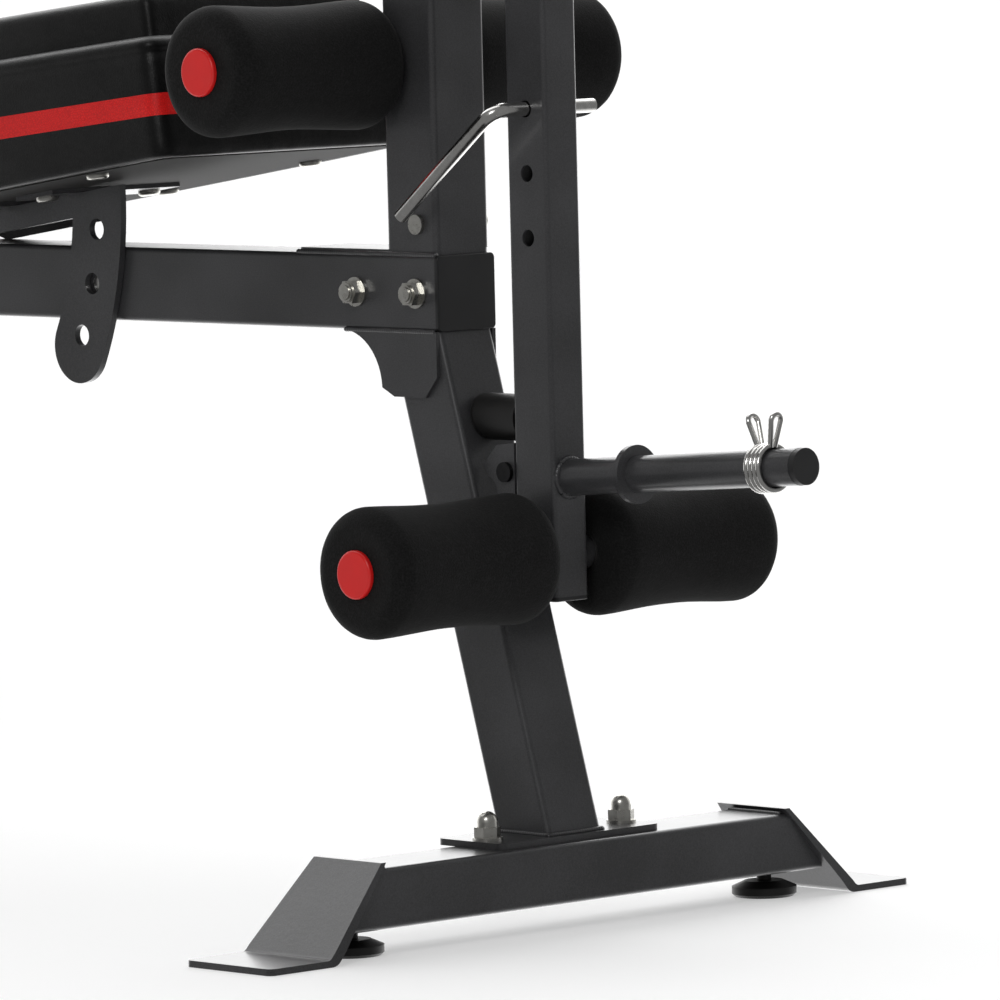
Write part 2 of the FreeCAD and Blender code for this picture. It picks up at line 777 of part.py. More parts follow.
arm_top = arm_pivot_z + arm_above_pivot
arm = square_tube(arm_depth, arm_width, arm_top - arm_bottom, arm_wall, arm_corner)
arm.translate(V(arm_x, 0, arm_bottom))
sleeve_radius = pivot_bolt_radius + pivot_clearance + sleeve_wall
arm = arm.cut(cylinder(V(arm_x, -arm_width, arm_pivot_z), Y_AXIS, sleeve_radius, 2 * arm_width))
arm = arm.cut(cylinder(V(arm_x, -arm_width, lower_bar_z), Y_AXIS, roller_bar_radius, 2 * arm_width))
for z in arm_hole_heights():
    arm = arm.cut(cylinder(V(arm_x, -arm_width, z), Y_AXIS, arm_hole_radius, 2 * arm_width))
keep("leg_arm", arm)

arm_half_sleeve = arm_side + bracket_gap * 0.5
keep("arm_pivot_sleeve", pipe(V(arm_x, -arm_half_sleeve, arm_pivot_z), Y_AXIS, sleeve_radius,
                              sleeve_wall, 2 * arm_half_sleeve))

arm_cap = plug_cap(arm_depth, arm_width, arm_wall, arm_corner)
bottom_cap = arm_cap.copy()
bottom_cap.rotate(V(0, 0, 0), X_AXIS, 180)
keep("arm_end_caps", group([moved(arm_cap, V(arm_x, 0, arm_top)),
                            moved(bottom_cap, V(arm_x, 0, arm_bottom))]))

keep("lower_roller_bar", roller_bar(arm_x, lower_bar_z))
keep("lower_roller_caps", group([roller_cap(arm_x, lower_bar_z, side) for side in (-1, 1)]))
keep("lower_roller_left", foam_roller(arm_x, lower_bar_z, -1))
keep("lower_roller_right", foam_roller(arm_x, lower_bar_z, 1))


# ---------------------------------------------------------------- weight post

weight_slope = math.radians(weight_post_tilt)
weight_axis = V(math.cos(weight_slope), 0, math.sin(weight_slope))
weight_start = V(arm_front, 0, weight_post_z)


def on_weight_post(distance):
    return weight_start + weight_axis * distance


blank = pipe(on_weight_post(-weight_root_overlap), weight_axis, weight_post_radius, weight_post_wall,
             weight_post_length - weight_cap_thickness + weight_root_overlap)
clear = 2 * weight_stop_radius
behind_root = box(arm_front - clear, arm_front, -clear, clear, weight_post_z - clear,
                  weight_post_z + clear)
keep("weight_post", blank.cut(behind_root))
keep("weight_stop_disc", pipe(on_weight_post(weight_stop_at), weight_axis, weight_stop_radius,
                              weight_stop_radius - weight_post_radius, weight_stop_thickness))
cap_start = on_weight_post(weight_post_length - weight_cap_thickness)
weight_cap = cylinder(cap_start, weight_axis, weight_post_radius - weight_cap_step,
                      weight_cap_thickness)
weight_plug_radius = weight_post_radius - weight_post_wall - weight_plug_clearance
weight_plug = cylinder(cap_start, weight_axis * -1, weight_plug_radius, weight_plug_depth)
keep("weight_post_cap", weight_cap.fuse(weight_plug))


def spring_collar():
    """Close coils of wire around the post, with two loops that are squeezed to free it."""
    coil_radius = weight_post_radius + collar_clearance + collar_wire_radius
    pitch = 2 * collar_wire_radius * 0.98
    rings = []
    for turn in range(collar_coils):
        ring = Part.makeTorus(coil_radius, collar_wire_radius, V(0, 0, turn * pitch), Z_AXIS)
        rings.append(ring)
    body = rings[0]
    for ring in rings[1:]:
        body = body.fuse(ring)
    for turn, lean in ((0, -0.22), (collar_coils - 1, 0.22)):
        start = V(coil_radius, 0, turn * pitch)
        for side in (-1, 1):
            foot = start + V(-1, side * 2.0, 0)
            tip = start + V(collar_grip_height - 6, side * 4.5, lean * collar_grip_height)
            run = tip - foot
            body = body.fuse(cylinder(foot, run, collar_wire_radius, run.Length))
            body = body.fuse(Part.makeSphere(collar_wire_radius, tip))
        bow_start = start + V(collar_grip_height - 6, -4.5, lean * collar_grip_height)
        bow_end = start + V(collar_grip_height - 6, 4.5, lean * collar_grip_height)
        bow_mid = start + V(collar_grip_height - 1.5, 0, lean * (collar_grip_height + 5))
        bow = Part.Wire([Part.Arc(bow_start, bow_mid, bow_end).toShape()])
        tangent = bow.Edges[0].tangentAt(bow.Edges[0].FirstParameter)
        circle = Part.Wire([Part.makeCircle(collar_wire_radius, bow_start, tangent)])
        body = body.fuse(bow.makePipeShell([circle], True, False))
    collar = Part.makeSolid(body.Shells[0])
    collar.Placement = FreeCAD.Placement(V(0, 0, 0), FreeCAD.Rotation(Y_AXIS, 90))
    collar.rotate(V(0, 0, 0), X_AXIS, 180)
    collar.rotate(V(0, 0, 0), Y_AXIS, -weight_post_tilt)
    collar.translate(on_weight_post(collar_at))
    return collar


keep("spring_collar", spring_collar())


# ---------------------------------------------------------------- bumper, hook plate and L-pin

def post_front_x(z):
    """X of the front post's front face at a height."""
    return (post_half / math.cos(lean_angle) - post_base_setback
            - (z - base_plate_top) * math.tan(lean_angle))


def buffer_block():
    reach = bumper_radius + 1
    blank = cylinder(V(post_front_x(bumper_z + reach), 0, bumper_z), X_AXIS, bumper_radius,
                     arm_back - post_front_x(bumper_z + reach))
    low = bumper_z - 2 * reach
    high = bumper_z + 2 * reach
    behind = plate_xz([(post_front_x(low) + bumper_gap, low), (post_front_x(high) + bumper_gap, high),
                       (post_front_x(high) - 99, high), (post_front_x(high) - 99, low)], -reach, reach)
    block = blank.cut(behind)
    tip = [edge for edge in block.Edges if edge.BoundBox.XMax < arm_back - 5 and len(edge.Vertexes) < 2]
    return block.makeFillet(bumper_rounding, tip)


def hook_plate():
    """Small plate welded behind the arm, with a hooked edge for a cable or chain."""
    back = arm_back
    top = hook_top
    hook_reach = back - post_front_x(top - hook_nose_drop) - hook_gap
    outline = [
        V(back, 0, top), V(back - 0.55 * hook_reach, 0, top - 2),
        V(back - hook_reach, 0, top - hook_nose_drop), V(back - 0.85 * hook_reach, 0, top - hook_tip_drop),
        V(back - 0.55 * hook_reach, 0, top - hook_height),
        V(back, 0, top - hook_height),
    ]
    scoop = Part.Arc(outline[3], V(back - 0.66 * hook_reach, 0, top - 27), outline[4]).toShape()
    edges = [Part.makeLine(outline[0], outline[1]), Part.makeLine(outline[1], outline[2]),
             Part.makeLine(outline[2], outline[3]), scoop,
             Part.makeLine(outline[4], outline[5]), Part.makeLine(outline[5], outline[0])]
    plate = Part.Face(Part.Wire(edges)).extrude(V(0, hook_thickness, 0))
    plate.translate(V(0, -arm_side, 0))
    hole = cylinder(V(back - hook_hole_inset, -arm_width, top - hook_hole_drop), Y_AXIS,
                    bolt_radius + bolt_clearance, arm_width)
    return plate.cut(hole)


def hook_bolt():
    centre = V(arm_back - hook_hole_inset, -arm_side, hook_top - hook_hole_drop)
    shank = cylinder(centre, Y_AXIS, bolt_radius, hook_thickness + nut_height + 2)
    head = cylinder(centre, -Y_AXIS, round_head_radius, round_head_height)
    nut = hexagon(centre + Y_AXIS * hook_thickness, Y_AXIS, nut_across, nut_height)
    return shank.fuse(head).fuse(nut)


keep("arm_bumper", buffer_block())
keep("hook_plate", hook_plate())
keep("hook_bolt", hook_bolt())


def l_pin():
    """Bent rod through the arm: straight shank along Y and a handle that points down and back."""
    angle = math.radians(l_pin_handle_angle)
    far = V(arm_x, arm_side + l_pin_stub, arm_pin_z)
    corner = V(arm_x, l_pin_handle_y, arm_pin_z)
    drop = V(-math.cos(angle), 0, -math.sin(angle))
    end = corner + drop * l_pin_handle_length
    bend = l_pin_bend_radius
    before = corner + Y_AXIS * bend
    after = corner + drop * bend
    inner = corner + (Y_AXIS + drop) * (bend * (1 - math.sqrt(0.5)))
    path = Part.Wire([Part.makeLine(far, before), Part.Arc(before, inner, after).toShape(),
                      Part.makeLine(after, end)])
    circle = Part.Wire([Part.makeCircle(l_pin_radius, far, -Y_AXIS)])
    rod = path.makePipeShell([circle], True, False)
    return Part.makeSolid(rod.Shells[0])


keep("l_pin", l_pin())


# ---------------------------------------------------------------- hinge ears and locking pins

def ears(side):
    """One plate on the beam that carries both hinge bolts."""
    outer = beam_side - ear_inset
    front = seat_hinge_x + ear_lug_radius
    rear = back_hinge_x - ear_lug_radius
    plate = box(rear, front, outer - ear_thickness, outer, beam_top, hinge_z + ear_lug_radius)
    tops = [edge for edge in edges_along(plate, Y_AXIS) if edge.BoundBox.ZMin > hinge_z]
    plate = plate.makeFillet(ear_lug_radius - 1, tops)
    for x in (seat_hinge_x, back_hinge_x):
        plate = plate.cut(cylinder(V(x, 0, hinge_z), Y_AXIS, hinge_bolt_radius + pivot_clearance, 60))
    return plate if side > 0 else mirrored_y(plate)


hinge_half_span = side_plate_outer + 0.5
keep("hinge_ears", group([ears(-1), ears(1)]))
keep("pivot_bolts", group([
    pivot_bolt(arm_x, arm_pivot_z, bracket_outer, pivot_bolt_radius),
    pivot_bolt(seat_hinge_x, hinge_z, hinge_half_span, hinge_bolt_radius),
    pivot_bolt(back_hinge_x, hinge_z, hinge_half_span, hinge_bolt_radius),
]))

lock_bore = lock_pin_radius + lock_pin_clearance


def lock_sleeve(x):
    """Guide tube through the beam, flush on the left and proud on the right."""
    return pipe(V(x, -beam_side, beam_mid_z), Y_AXIS, lock_bore + lock_sleeve_wall,
                lock_sleeve_wall, beam_width + lock_sleeve_proud)


def lock_pin(x):
    """Round pin, drawn clear of the angle plate: it slides towards -Y to lock."""
    start = V(x, -beam_side - lock_tip_gap, beam_mid_z)
    pin = cylinder(start, Y_AXIS, lock_pin_radius,
                   beam_width + lock_sleeve_proud + lock_travel + knob_shaft)
    tip = [edge for edge in pin.Edges if edge.BoundBox.YMax < start.y + 0.01]
    return pin.makeFillet(1.5, tip)


def lock_knob(x):
    """Round pull knob on the right-hand end of the pin."""
    start = V(x, beam_side + lock_sleeve_proud + lock_travel + knob_gap, beam_mid_z)
    knob = cylinder(start, Y_AXIS, knob_radius, knob_length)
    rims = [edge for edge in knob.Edges if len(edge.Vertexes) == 1]
    knob = knob.makeFillet(knob_rounding, rims)
    for step in range(8):
        angle = math.radians(45 * step)
        groove = V(start.x + (knob_radius + knob_groove_offset) * math.cos(angle), start.y - 1,
                   start.z + (knob_radius + knob_groove_offset) * math.sin(angle))
        knob = knob.cut(cylinder(groove, Y_AXIS, knob_groove_radius, knob_length + 2))
    return knob.cut(cylinder(start - Y_AXIS, Y_AXIS, lock_pin_radius, knob_shaft - 3))


keep("lock_pin_sleeves", group([lock_sleeve(seat_pin_x), lock_sleeve(back_pin_x)]))
for name, x in (("seat", seat_pin_x), ("back", back_pin_x)):
    knob = lock_knob(x)
    pin = lock_pin(x)
    trimmed = pin.common(box(x - 20, x + 20, -beam_width, knob.BoundBox.YMin + knob_shaft - 4,
                             beam_mid_z - 20, beam_mid_z + 20))
    keep(name + "_lock_pin", trimmed)
    keep(name + "_lock_knob", knob)


# ---------------------------------------------------------------- pads

def pad_outline(length, near_width, far_width, corner, inset, z):
    """Closed outline on the plane at z: rounded corners and gently bowed sides.

    It runs from x = 0 (the near end) to x = -length.
    """
    near = near_width / 2 - inset
    far = far_width / 2 - inset
    x0 = -inset
    x1 = -length + inset
    bend = corner * (1 - math.sqrt(0.5))
    side_mid = (near + far) / 2 + pad_bulge * 0.5
    middle = (x0 + x1) / 2
    edges = []
    for s in (1, -1):
        a = V(x0, s * (near - corner), z)
        b = V(x0 - corner, s * near, z)
        c = V(x1 + corner, s * far, z)
        d = V(x1, s * (far - corner), z)
        edges.append([
            Part.Arc(a, V(x0 - bend, s * (near - bend), z), b).toShape(),
            Part.Arc(b, V(middle, s * side_mid, z), c).toShape(),
            Part.Arc(c, V(x1 + bend, s * (far - bend), z), d).toShape(),
        ])
    first = Part.makeLine(V(x0, -(near - corner), z), V(x0, near - corner, z))
    last = Part.makeLine(V(x1, far - corner, z), V(x1, -(far - corner), z))
    return Part.Wire([first] + edges[0] + [last] + edges[1][::-1])


def pad(length, near_width, far_width, corner, lower, upper):
    """Two-tier cushion on the plane z = 0, hollowed below for its board, and the board."""
    widths = (near_width, far_width)
    base = Part.Face(pad_outline(length, *widths, corner, 0, 0)).extrude(V(0, 0, lower))
    tier_face = Part.Face(pad_outline(length, *widths, corner, pad_upper_inset, lower))
    board_face = Part.Face(pad_outline(length, *widths, corner, board_inset, 0))
    board = board_face.extrude(V(0, 0, board_thickness))
    return base.fuse(tier_face.extrude(V(0, 0, upper))).cut(board), board


def place_on_seat(shape):
    copy = shape.copy()
    copy.rotate(V(0, 0, 0), Y_AXIS, -seat_tilt)
    copy.translate(V(seat_front_x, 0, seat_front_z))
    return copy


def place_on_back(shape):
    """From the flat backrest at the hinge to its rest incline."""
    return turned(moved(shape, back_hinge), back_hinge, back_incline)


seat_cushion, seat_board = pad(seat_length, seat_front_width, seat_width, seat_corner,
                               seat_lower_height, seat_upper_height)
keep("seat_cushion", place_on_seat(seat_cushion))

pad_place = V(-back_pad_start, 0, back_pad_lift)
back_cushion, back_board = pad(back_length, back_width, back_head_width, back_corner,
                               back_lower_height, back_upper_height)
keep("back_cushion", place_on_back(moved(back_cushion, pad_place)))


# ---------------------------------------------------------------- seat frame

def seat_under(x):
    """Height of the seat's underside at x."""
    return seat_front_z - (seat_front_x - x) * math.tan(seat_slope)


def arc_point(radius, angle):
    return V(seat_hinge_x + radius * math.cos(angle), 0, hinge_z - radius * math.sin(angle))


def seat_rail(front):
    """Flat bar under the seat that ends in the hinge lug."""
    rear = seat_front_x - seat_length * math.cos(seat_slope) + 6
    lower = side_rail_height + cross_plate_drop
    outline = [(front, seat_under(front) - cross_plate_drop),
               (front, seat_under(front) - lower),
               (rear, seat_under(rear) - lower),
               (seat_hinge_x, hinge_z - lug_radius),
               (seat_hinge_x, hinge_z + lug_radius * 0.6),
               (rear - 12, seat_under(rear - 12) - cross_plate_drop)]
    rail = plate_xz(outline, side_plate_inner, side_plate_outer)
    lug = cylinder(V(seat_hinge_x, side_plate_inner, hinge_z), Y_AXIS, lug_radius,
                   side_plate_thickness)
    return rail.fuse(lug)


def seat_tail():
    """Curved bar with the three angle holes; its middle line is an arc about the hinge."""
    half = tail_width / 2
    first = seat_pin_angle - seat_hole_step - tail_above / seat_pin_radius_on_arc
    last = seat_pin_angle + seat_hole_step + tail_below / seat_pin_radius_on_arc
    mid = (first + last) / 2
    inner = seat_pin_radius_on_arc - half
    outer = seat_pin_radius_on_arc + half
    tangent = last + half / seat_pin_radius_on_arc
    edges = [
        Part.Arc(arc_point(outer, first), arc_point(outer, mid), arc_point(outer, last)).toShape(),
        Part.Arc(arc_point(outer, last), arc_point(seat_pin_radius_on_arc, tangent),
                 arc_point(inner, last)).toShape(),
        Part.Arc(arc_point(inner, last), arc_point(inner, mid), arc_point(inner, first)).toShape(),
        Part.makeLine(arc_point(inner, first), arc_point(outer, first)),
    ]
    bar = Part.Face(Part.Wire(edges)).extrude(V(0, side_plate_thickness, 0))
    bar.translate(V(0, side_plate_inner, 0))
    top_x = seat_pin_x + tail_width
    rear_x = seat_pin_x - 2 * tail_width
    trim = plate_xz([(rear_x, seat_under(rear_x) - cross_plate_drop),
                     (top_x, seat_under(top_x) - cross_plate_drop),
                     (top_x, hinge_z + 200), (rear_x, hinge_z + 200)],
                    side_plate_inner - 1, side_plate_outer + 1)
    return bar.cut(trim)


def seat_holes():
    holes = []
    for step in (-1, 0, 1):
        centre = arc_point(seat_pin_radius_on_arc, seat_pin_angle + step * seat_hole_step)
        holes.append(cylinder(centre - Y_AXIS * 60, Y_AXIS, seat_hole_radius, 120))
    return holes


hinge_bore = cylinder(V(seat_hinge_x, -60, hinge_z), Y_AXIS, hinge_bolt_radius + pivot_clearance, 120)
rail_front = seat_pin_x + tail_width / 2
right_plate = seat_rail(rail_front - right_rail_setback).cut(hinge_bore)
left_plate = seat_rail(rail_front).fuse(seat_tail())
left_plate = mirrored_y(left_plate).cut(hinge_bore)
for hole in seat_holes():
    left_plate = left_plate.cut(hole)
keep("seat_side_plates", group([left_plate.removeSplitter(), right_plate.removeSplitter()]))

seat_plate_at = (seat_front_x - seat_pin_x + tail_width * 0.6, seat_length - 70.0)


def seat_cross_plate(at):
    half = cross_plate_width / 2
    return box(-at - half, -at + half, -seat_plate_half_span, seat_plate_half_span,
               -cross_plate_thickness, 0)


def pad_bolt(x, y, depth):
    """Round-headed screw up through a cross plate into the board."""
    head = cylinder(V(x, y, -depth), -Z_AXIS, bolt_radius * 2, 3.5)
    rim = [edge for edge in head.Edges if edge.BoundBox.ZMax < -depth - 3.4]
    head = head.makeFillet(2.5, rim)
    shank = cylinder(V(x, y, -depth), Z_AXIS, bolt_radius * 0.7, depth + board_thickness - 3)
    return head.fuse(shank)


def drilled(shape, bolts):
    for bolt in bolts:
        shape = shape.cut(bolt)
    return shape


seat_bolts = [pad_bolt(-at, side * (seat_plate_half_span - plate_bolt_inset), cross_plate_thickness)
              for at in seat_plate_at for side in (-1, 1)]
seat_bolts += [pad_bolt(-at, side * board_screw_y, 0) for at in board_screw_at for side in (-1, 1)]
keep("seat_cross_plates", group([place_on_seat(drilled(seat_cross_plate(at), seat_bolts))
                                 for at in seat_plate_at]))
keep("seat_bolts", group([place_on_seat(bolt) for bolt in seat_bolts]))
keep("seat_board", place_on_seat(drilled(seat_board, seat_bolts)))


# ---------------------------------------------------------------- back frame

def back_rail(side):
    """Square tube under the backrest, beside the angle plates."""
    start = -back_rail_start
    size = back_rail_size
    tube = square_tube(size, size, back_rail_length + start, back_rail_wall, back_rail_corner)
    tube.rotate(V(0, 0, 0), Y_AXIS, -90)
    tube.translate(V(start, side * (side_plate_outer + 0.5 + size / 2),
                     back_pad_lift - cross_plate_thickness - size / 2))
    return tube


def quadrant_point(radius, degrees):
    angle = math.radians(degrees)
    return V(-radius * math.cos(angle), 0, -radius * math.sin(angle))


def back_quadrant():
    """Sector plate that turns about the hinge bolt, with a row of angle holes."""
    outer = back_pin_radius_on_arc + quadrant_margin
    first = back_flat_hole_angle - 12
    last = back_flat_hole_angle + (back_hole_count - 1) * back_hole_step + 12
    hub = 4.0
    edges = [
        Part.makeLine(quadrant_point(hub, first), quadrant_point(outer, first)),
        Part.Arc(quadrant_point(outer, first), quadrant_point(outer, (first + last) / 2),
                 quadrant_point(outer, last)).toShape(),
        Part.makeLine(quadrant_point(outer, last), quadrant_point(hub, last)),
        Part.makeLine(quadrant_point(hub, last), quadrant_point(hub, first)),
    ]
    sector = Part.Face(Part.Wire(edges)).extrude(V(0, side_plate_thickness, 0))
    sector = sector.makeFillet(8, [edge for edge in edges_along(sector, Y_AXIS)
                                   if edge.BoundBox.Center.Length > outer * 0.8])
    sector.translate(V(0, side_plate_inner, 0))
    for step in range(back_hole_count):
        centre = quadrant_point(back_pin_radius_on_arc, back_flat_hole_angle + step * back_hole_step)
        sector = sector.cut(cylinder(centre, Y_AXIS, back_hole_radius, 60))
    return sector


def back_lug():
    """Flat plate from the hinge bolt to the rail under the backrest."""
    lug = cylinder(V(0, side_plate_inner, 0), Y_AXIS, lug_radius, side_plate_thickness)
    strap = box(-150, 0, side_plate_inner, side_plate_outer, -lug_radius + 4,
                back_pad_lift - cross_plate_thickness)
    return lug.fuse(strap)


back_bore = cylinder(V(0, -60, 0), Y_AXIS, hinge_bolt_radius + pivot_clearance, 120)
left_back = mirrored_y(back_lug().fuse(back_quadrant())).cut(back_bore)
right_back = back_lug().cut(back_bore)
keep("back_angle_plates", group([place_on_back(left_back.removeSplitter()),
                                 place_on_back(right_back.removeSplitter())]))
keep("back_rails", group([place_on_back(back_rail(-1)), place_on_back(back_rail(1))]))

back_plate_at = (back_plate_near, back_rail_length - back_plate_far_inset)


def back_cross_plate(at):
    half = cross_plate_width / 2
    return box(-at - half, -at + half, -plate_half_span, plate_half_span,
               back_pad_lift - cross_plate_thickness, back_pad_lift)


back_bolts = [moved(pad_bolt(-at, side * (plate_half_span - plate_bolt_inset), cross_plate_thickness),
                    V(0, 0, back_pad_lift))
              for at in back_plate_at for side in (-1, 1)]
keep("back_cross_plates", group([place_on_back(drilled(back_cross_plate(at), back_bolts))
                                 for at in back_plate_at]))
keep("back_bolts", group([place_on_back(bolt) for bolt in back_bolts]))
keep("back_board", place_on_back(drilled(moved(back_board, pad_place), back_bolts)))


# ---------------------------------------------------------------- export

# One move along X for everything, in whole millimetres.
foot_end_x = nodes["weight_post_cap"].BoundBox.XMax
head_end_x = min(nodes["back_cushion"].BoundBox.XMin, nodes["rear_end_plates"].BoundBox.XMin)
middle_x = round((foot_end_x + head_end_x) / 2)

os.makedirs("parts", exist_ok=True)
for name, shape in nodes.items():
    moved(shape, V(-middle_x, 0, 0)).exportStep("parts/" + name + ".step")
    print(name, "solids", len(shape.Solids), "valid", shape.isValid(),
          "volume", round(shape.Volume / 1000, 1))


def report(label, x, z):
    print(label, "x", round(x - middle_x, 3), "z", round(z, 3))


print("nodes", len(nodes), "moved along X by", -middle_x)
report("arm pivot", arm_x, arm_pivot_z)
report("upper roller bar", upper_bar_x, upper_bar_z)
report("lower roller bar", arm_x, lower_bar_z)
report("seat hinge", seat_hinge_x, hinge_z)
report("back hinge", back_hinge_x, hinge_z)
report("seat pin", seat_pin_x, beam_mid_z)
report("back pin", back_pin_x, beam_mid_z)
report("weight post root", arm_front, weight_post_z)
report("front crossbar", 0, bar_top)
report("rear crossbar", rear_bar_x, bar_top)
print("seat step degrees", round(math.degrees(seat_hole_step), 3))
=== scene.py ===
# %% [markdown]
# # The looks of an adjustable weight bench
# The bench already exists as a set of exact solids that move on joints. This lesson gives every
# visible surface its real finish, and swaps each plain soft solid for a piece that looks sewn or
# moulded. All lengths are in metres, and +X points along the bench towards the leg developer.

# %% Load the bench
import bpy
import json
import math
from mathutils import Matrix, Vector, noise


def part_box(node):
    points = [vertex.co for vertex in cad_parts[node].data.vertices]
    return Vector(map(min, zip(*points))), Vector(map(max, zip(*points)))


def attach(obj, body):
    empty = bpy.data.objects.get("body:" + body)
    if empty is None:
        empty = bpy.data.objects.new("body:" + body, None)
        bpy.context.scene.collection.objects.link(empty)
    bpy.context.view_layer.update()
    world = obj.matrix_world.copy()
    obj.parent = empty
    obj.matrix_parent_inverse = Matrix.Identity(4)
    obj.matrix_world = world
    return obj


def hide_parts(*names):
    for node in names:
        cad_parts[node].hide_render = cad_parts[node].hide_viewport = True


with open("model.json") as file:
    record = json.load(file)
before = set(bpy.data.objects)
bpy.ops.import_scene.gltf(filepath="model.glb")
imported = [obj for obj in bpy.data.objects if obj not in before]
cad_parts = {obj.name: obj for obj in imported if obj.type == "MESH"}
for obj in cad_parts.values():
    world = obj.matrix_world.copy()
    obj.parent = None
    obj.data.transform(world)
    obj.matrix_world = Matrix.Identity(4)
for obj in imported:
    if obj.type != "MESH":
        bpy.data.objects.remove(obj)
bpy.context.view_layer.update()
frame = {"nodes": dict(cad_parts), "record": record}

# %% [markdown]
# Sizes in this lesson are easiest to read in millimetres, and colours as the hex codes that a
# colour chart gives. The scene wants metres and linear light, so two small functions translate.

# %% Millimetres and colours
def mm(value):
    return value / 1000


def linear(hex_code):
    channels = []
    for place in (1, 3, 5):
        value = int(hex_code[place:place + 2], 16) / 255
        channels.append(value / 12.92 if value <= 0.04045 else ((value + 0.055) / 1.055) ** 2.4)
    return (*channels, 1.0)


print("mid grey in linear light", [round(value, 3) for value in linear("#808080")[:3]])

# %% [markdown]
# Every finish is a small tree of shader nodes. One function adds a node, sets its options, and
# fills its inputs with numbers or with links from other nodes.

# %% Adding a shader node
def add_node(tree, kind, inputs=None, **settings):
    made = tree.nodes.new(kind)
    for name, value in settings.items():
        setattr(made, name, value)
    for socket, value in (inputs or {}).items():
        if isinstance(value, bpy.types.NodeSocket):
            tree.links.new(value, made.inputs[socket])
        else:
            made.inputs[socket].default_value = value
    return made


def start_finish(name):
    """An empty material: its tree and the object coordinates, which are in metres."""
    finish = bpy.data.materials.new(name)
    finish.use_nodes = True
    finish.node_tree.nodes.clear()
    place = add_node(finish.node_tree, "ShaderNodeTexCoord").outputs["Object"]
    return finish, finish.node_tree, place


def end_finish(tree, inputs):
    shader = add_node(tree, "ShaderNodeBsdfPrincipled", inputs)
    add_node(tree, "ShaderNodeOutputMaterial", {"Surface": shader.outputs["BSDF"]})


# %% [markdown]
# ## Finishes
# The tubes and plates are mild steel under a charcoal powder coat. The powder melts into a skin
# with a shallow orange-peel swell about 3 mm across, and metal flake in it sparkles a little.
# A noise at that size drives the swell, a much finer one the flake, and a wide one lets the tone
# drift over a long tube, as a real coat does.

# %% Charcoal powder coat
def powder_coat(name, dark, light, rough):
    finish, tree, place = start_finish(name)
    drift = add_node(tree, "ShaderNodeTexNoise", {"Vector": place, "Scale": 1 / mm(90), "Detail": 2.0})
    flake = add_node(tree, "ShaderNodeTexNoise", {"Vector": place, "Scale": 1 / mm(0.9), "Detail": 1.0})
    tone = add_node(tree, "ShaderNodeMath", {0: drift.outputs["Fac"], 1: 0.55}, operation="MULTIPLY")
    speck = add_node(tree, "ShaderNodeMath", {0: flake.outputs["Fac"], 1: 0.45, 2: tone.outputs[0]},
                     operation="MULTIPLY_ADD")
    colour = add_node(tree, "ShaderNodeValToRGB", {"Fac": speck.outputs[0]})
    colour.color_ramp.elements[0].position = 0.35
    colour.color_ramp.elements[0].color = linear(dark)
    colour.color_ramp.elements[1].position = 0.68
    colour.color_ramp.elements[1].color = linear(light)
    gloss = add_node(tree, "ShaderNodeMapRange",
                     {"Value": drift.outputs["Fac"], "To Min": rough - 0.05, "To Max": rough + 0.06})
    swell = add_node(tree, "ShaderNodeTexNoise", {"Vector": place, "Scale": 1 / mm(3.2), "Detail": 1.5})
    peel = add_node(tree, "ShaderNodeBump", {"Height": swell.outputs["Fac"], "Strength": 0.35,
                                             "Distance": mm(0.25)})
    grit = add_node(tree, "ShaderNodeBump", {"Height": flake.outputs["Fac"], "Strength": 0.25,
                                             "Distance": mm(0.06), "Normal": peel.outputs["Normal"]})
    end_finish(tree, {"Base Color": colour.outputs["Color"], "Roughness": gloss.outputs["Result"],
                      "Metallic": 0.25, "IOR": 1.5, "Coat Weight": 0.35, "Coat Roughness": 0.18,
                      "Normal": grit.outputs["Normal"]})
    return finish


charcoal_coat = powder_coat("charcoal_powder_coat", "#333334", "#48484A", 0.34)
print("made", charcoal_coat.name)

# %% [markdown]
# Bolts, nuts and pins are steel with a thin bright zinc plate. It is a metal, so the colour is
# that of its reflections; faint rolling marks and a slight haze keep it from looking like a mirror.

# %% Zinc-plated steel
def plated_steel(name, hex_code, rough, haze):
    finish, tree, place = start_finish(name)
    cloud = add_node(tree, "ShaderNodeTexNoise", {"Vector": place, "Scale": 1 / mm(4), "Detail": 3.0})
    marks = add_node(tree, "ShaderNodeTexNoise", {"Vector": place, "Scale": 1 / mm(0.6), "Detail": 2.0})
    tint = add_node(tree, "ShaderNodeValToRGB", {"Fac": cloud.outputs["Fac"]})
    tint.color_ramp.elements[0].color = linear(haze)
    tint.color_ramp.elements[1].color = linear(hex_code)
    gloss = add_node(tree, "ShaderNodeMapRange",
                     {"Value": cloud.outputs["Fac"], "To Min": rough, "To Max": rough + 0.14})
    dents = add_node(tree, "ShaderNodeBump", {"Height": marks.outputs["Fac"], "Strength": 0.2,
                                              "Distance": mm(0.05)})
    end_finish(tree, {"Base Color": tint.outputs["Color"], "Metallic": 1.0,
                      "Roughness": gloss.outputs["Result"], "Normal": dents.outputs["Normal"]})
    return finish


zinc_plate = plated_steel("zinc_plated_steel", "#DCDBD6", 0.22, "#B9B7B0")
bright_pin = plated_steel("chromed_pin_steel", "#E9E8E6", 0.12, "#CFCECB")
dark_plated = plated_steel("black_oxide_steel", "#3A3A3B", 0.4, "#2A2A2B")
print("made", zinc_plate.name, "and", bright_pin.name, "and", dark_plated.name)

# %% [markdown]
# The end caps and knobs are polypropylene from a spark-eroded mould. That leaves an even, fine
# grain. A grain of 0.3 mm would vanish at this distance, so it is drawn at 0.6 to 0.8 mm.

